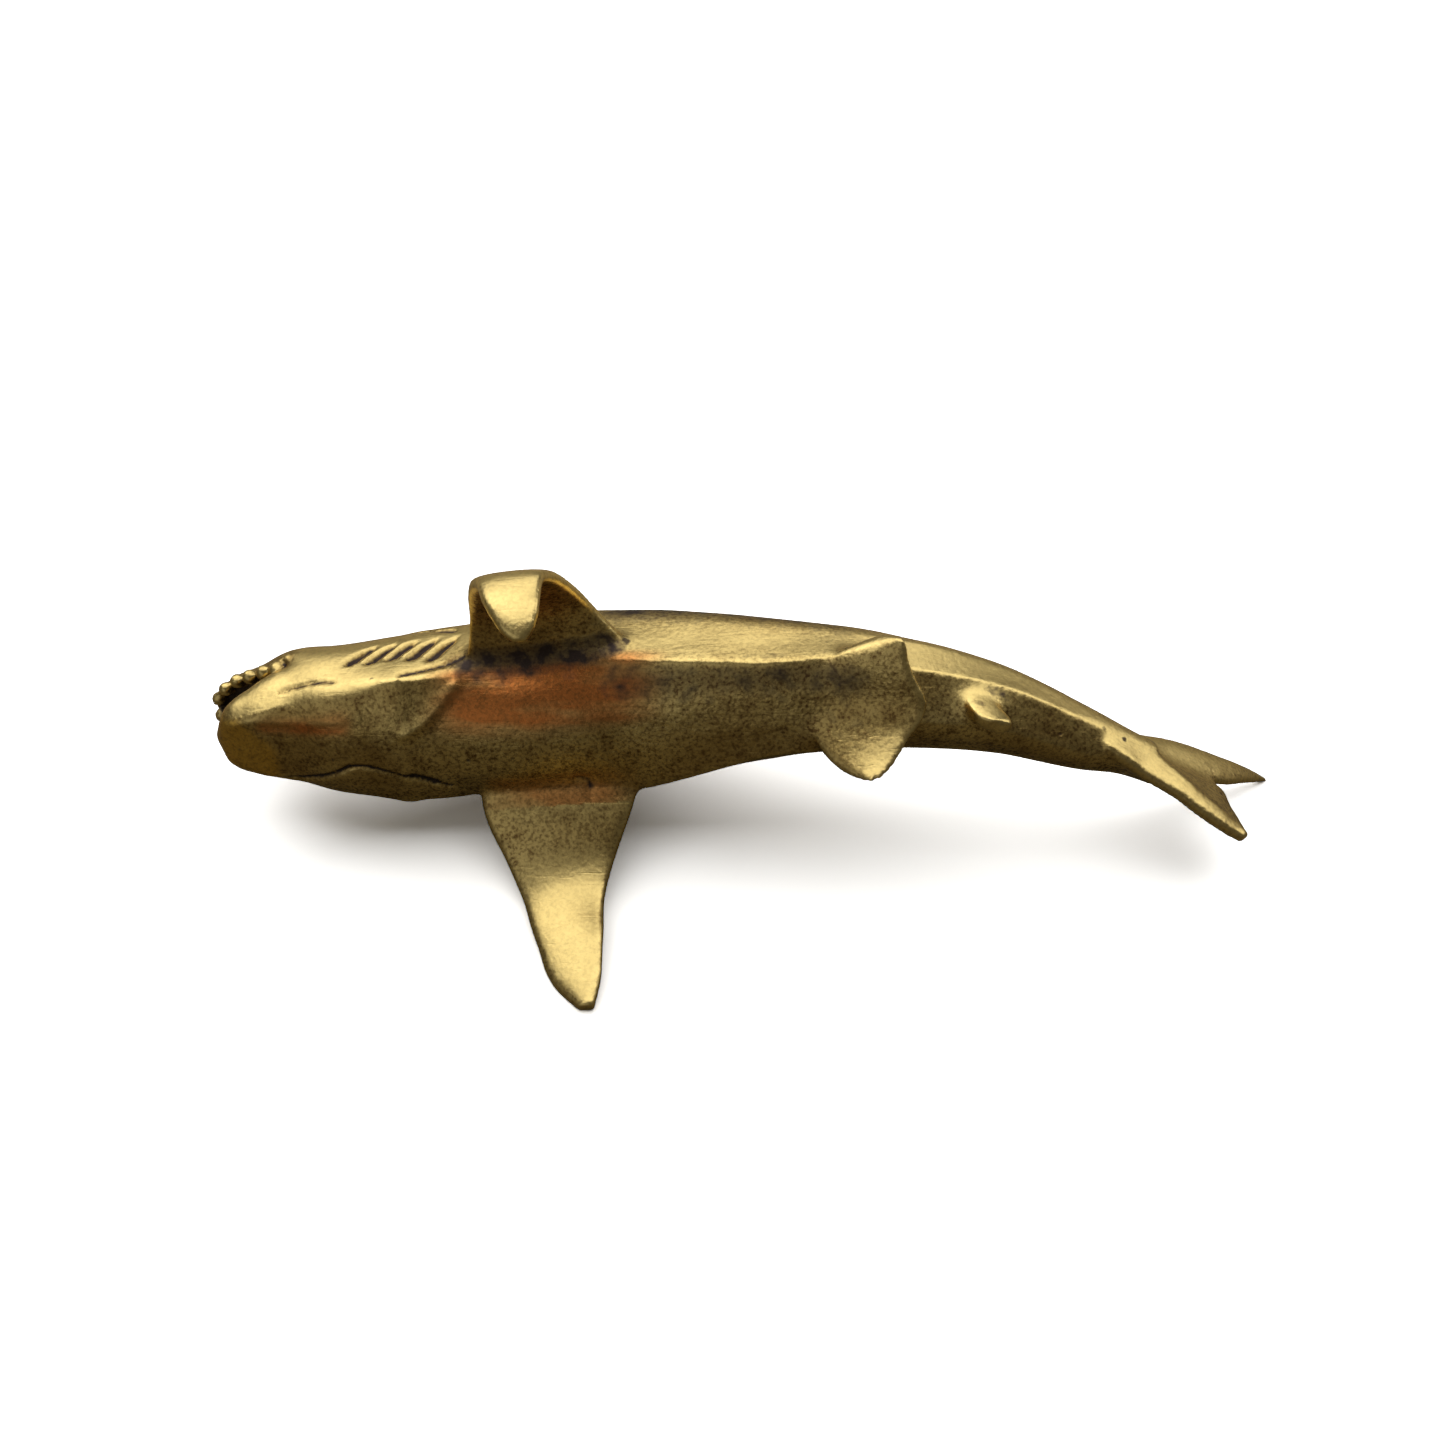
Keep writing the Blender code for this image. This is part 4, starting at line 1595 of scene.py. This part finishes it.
@dataclass(frozen=True)
class Studio:
    """A pale floor, soft light from above and behind, and the camera at the photo's place."""

    camera_place: tuple = (-2.13 * MM, -68.9 * MM, 86.8 * MM)
    pitch: float = 48.5
    lens: float = 35.82
    half_floor: float = 1.2
    floor_seen: float = 2.6
    floor_near: str = "#60563f"
    floor_behind: str = "#a4977a"
    world_seen: float = 7.5
    world_colour: str = "#cfc9ba"
    world_strength: float = 0.14
    lights: tuple = (
        SoftLight("overhead", (0.0, 0.09, 0.6), (1.1, 0.5), 1.35),
        SoftLight("behind", (-0.2, 0.5, 0.5), (1.2, 0.4), 1.3),
        SoftLight("right", (0.75, 0.33, 0.44), (0.5, 0.45), 1.4),
        SoftLight("front", (-0.4, -0.5, 0.36), (0.8, 0.35), 0.28),
        SoftLight("left", (-0.45, -0.6, 0.2), (0.6, 0.35), 0.07),
    )

    def floor(self) -> bpy.types.Object:
        """A wide flat sheet, pale to the camera; in reflections dark, and lighter behind the shark.

        Returns:
            The sheet.
        """
        half = self.half_floor
        mesh = bpy.data.meshes.new("floor")
        corners = [(-half, -half, 0.0), (half, -half, 0.0), (half, half, 0.0), (-half, half, 0.0)]
        mesh.from_pydata(corners, [], [(0, 1, 2, 3)])
        sheet = bpy.data.objects.new("floor", mesh)
        bpy.context.scene.collection.objects.link(sheet)
        # Matt pressed paper: an even surface that shows no shine.
        material = bpy.data.materials.new("paper_backdrop_matt")
        material.use_nodes = True
        tree = material.node_tree
        shader = tree.nodes["Principled BSDF"]
        seen = add(tree, "LightPath", out="Is Camera Ray")
        away = add(tree, "SeparateXYZ", out="Y", in0=add(tree, "TexCoord", out="Object"))
        shades = {"stops": ((0.0, linear(self.floor_near)), (0.04, linear(self.floor_behind)))}
        mirrored = add(tree, "ValToRGB", shades, in0=away)
        colour = add(tree, "Mix", MIX, MIXED, in0=seen, in6=mirrored, in7=grey(self.floor_seen))
        tree.links.new(colour, shader.inputs["Base Color"])
        shader.inputs["Roughness"].default_value = 0.9
        mesh.materials.append(material)
        return sheet

    def world(self) -> None:
        """A dim, even grey all round, which the camera itself sees as white."""
        world = bpy.data.worlds.new("studio")
        world.use_nodes = True
        tree = world.node_tree
        background = tree.nodes["Background"]
        seen = add(tree, "LightPath", out="Is Camera Ray")
        ends = {"in6": linear(self.world_colour), "in7": grey(self.world_seen)}
        tree.links.new(add(tree, "Mix", MIX, MIXED, in0=seen, **ends), background.inputs["Color"])
        background.inputs["Strength"].default_value = self.world_strength
        bpy.context.scene.world = world

    def camera(self) -> None:
        """Sets up the camera, looking along +Y and down by the pitch."""
        data = bpy.data.cameras.new("camera")
        data.lens = self.lens
        data.clip_start = 0.01
        camera = bpy.data.objects.new("camera", data)
        camera.location = self.camera_place
        camera.rotation_euler = (np.radians(90 - self.pitch), 0.0, 0.0)
        bpy.context.scene.collection.objects.link(camera)
        bpy.context.scene.camera = camera

    def build(self) -> None:
        """Sets up everything that is not the figurine."""
        sheet = self.floor()
        lamps = [light.build() for light in self.lights]
        self.world()
        self.camera()
        bpy.context.scene.view_settings.view_transform = "Standard"


UPPER_JAW = (
    (0.00, -0.75, 0.07, 0.07, 0.03),
    (0.04, -0.72, 0.25, 0.20, 0.07),
    (0.14, -0.60, 0.50, 0.34, 0.09),
    (0.34, -0.40, 0.74, 0.54, 0.11),
    (0.48, -0.24, 0.93, 0.74, 0.12),
    (0.59, -0.15, 1.00, 0.85, 0.15),
    (0.78, -0.02, 1.00, 0.94, 0.52),
    (0.92, 0.00, 0.99, 0.98, 0.89),
    (1.15, 0.00, 0.99, 0.99, 0.98),
    (1.35, 0.00, 0.98, 0.98, 0.98),
    (1.50, 0.00, 0.80, 0.80, 0.80),
)
LOWER_JAW = (
    (0.14, 0.52, 0.06, 0.05, 0.06),
    (0.17, 0.50, 0.28, 0.09, 0.19),
    (0.20, 0.49, 0.48, 0.12, 0.28),
    (0.24, 0.46, 0.60, 0.13, 0.34),
    (0.35, 0.33, 0.74, 0.16, 0.49),
    (0.61, 0.03, 0.90, 0.14, 0.77),
    (0.80, 0.00, 0.96, 0.27, 0.92),
    (1.04, 0.00, 0.98, 0.52, 0.98),
    (1.35, 0.00, 0.98, 0.50, 0.98),
    (1.50, 0.00, 0.80, 0.34, 0.80),
)
RIGHT_FIN = (
    (0.26, 0.20, 0.00, 1.11),
    (0.44, 0.32, 0.06, 1.02),
    (0.61, 0.42, 0.19, 0.92),
    (0.73, 0.54, 0.30, 0.86),
    (0.84, 0.75, 0.43, 0.86),
    (0.95, 0.93, 0.58, 0.85),
    (1.00, 1.00, 0.72, 0.82),
)
LEFT_FIN = (
    (0.30, 0.15, -0.06, 1.12),
    (0.48, 0.18, 0.00, 0.97),
    (0.70, 0.22, 0.04, 0.80),
    (0.88, 0.335, 0.075, 0.70),
    (1.01, 0.462, 0.13, 0.62),
    (1.06, 0.57, 0.19, 0.585),
    (1.03, 0.68, 0.245, 0.58),
    (0.97, 0.765, 0.32, 0.57),
    (0.91, 0.812, 0.39, 0.54),
    (0.88, 0.825, 0.44, 0.51),
)
FAR_FRONT = (
    (-0.25, 0.10, 0.06),
    (0.14, 0.22, -0.11),
    (0.41, 0.27, -0.24),
    (0.75, 0.31, -0.45),
    (1.00, 0.34, -0.63),
)
FAR_BACK = (
    (-0.25, -0.03, 0.13),
    (0.14, 0.02, -0.10),
    (0.56, 0.06, -0.33),
    (0.80, 0.18, -0.48),
    (0.99, 0.32, -0.64),
)
NEAR_FRONT = (
    (-0.25, -0.10, 0.17),
    (0.06, -0.19, 0.06),
    (0.28, -0.26, -0.05),
    (0.47, -0.34, -0.16),
    (0.60, -0.40, -0.25),
)
NEAR_BACK = (
    (-0.25, 0.05, 0.10),
    (0.18, 0.04, -0.12),
    (0.56, 0.03, -0.33),
    (0.59, -0.16, -0.30),
    (0.62, -0.37, -0.27),
)


def shark_forms(line: MiddleLine, facets: Facets) -> list:
    """Builds all closed forms that are melted into the casting.

    Args:
        line: The middle line.
        facets: The edges and flats of the body and the jaws.

    Returns:
        The forms.
    """
    forms = [
        Trunk(line, facets).form(),
        Jaw(line, facets, UPPER_JAW, back_power=1.0, belly_power=0.55).form(),
        Jaw(line, facets, LOWER_JAW, back_power=0.5, belly_power=1.0).form(),
        PectoralFin(line, RIGHT_FIN, reach_side=-14.9 * MM, reach_belly=17.1 * MM).form(),
        PectoralFin(line, LEFT_FIN, reach_side=12.9 * MM, reach_belly=15.2 * MM).form(),
        DorsalFin(line).form(),
        PelvicFins(line).form(),
        AnalFin(line).form(),
        TailLobe(line, FAR_FRONT, FAR_BACK).form(),
        TailLobe(line, NEAR_FRONT, NEAR_BACK).form(),
        TailSpar().form(),
    ]
    for side in Side:
        forms += Teeth(line).forms(side)
        forms.append(Eye(line).form(side))
    log.info("forms: %d", len(forms))
    return forms


def main() -> None:
    """Builds the casting, its finish and the studio."""
    line = MiddleLine()
    work = Casting(line, Relief(), Tones())
    casting = work.melt(shark_forms(line, Facets()))
    work.finish(casting)
    casting.data.materials.clear()
    casting.data.materials.append(BrassFinish().material())
    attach(casting, "root")
    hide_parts(NODE)
    log.info("brass casting: %d points, %d faces", len(casting.data.vertices), len(casting.data.polygons))

    Studio().build()
    log.info("studio: floor, five lights, camera")


if __name__ == "__main__":
    main()
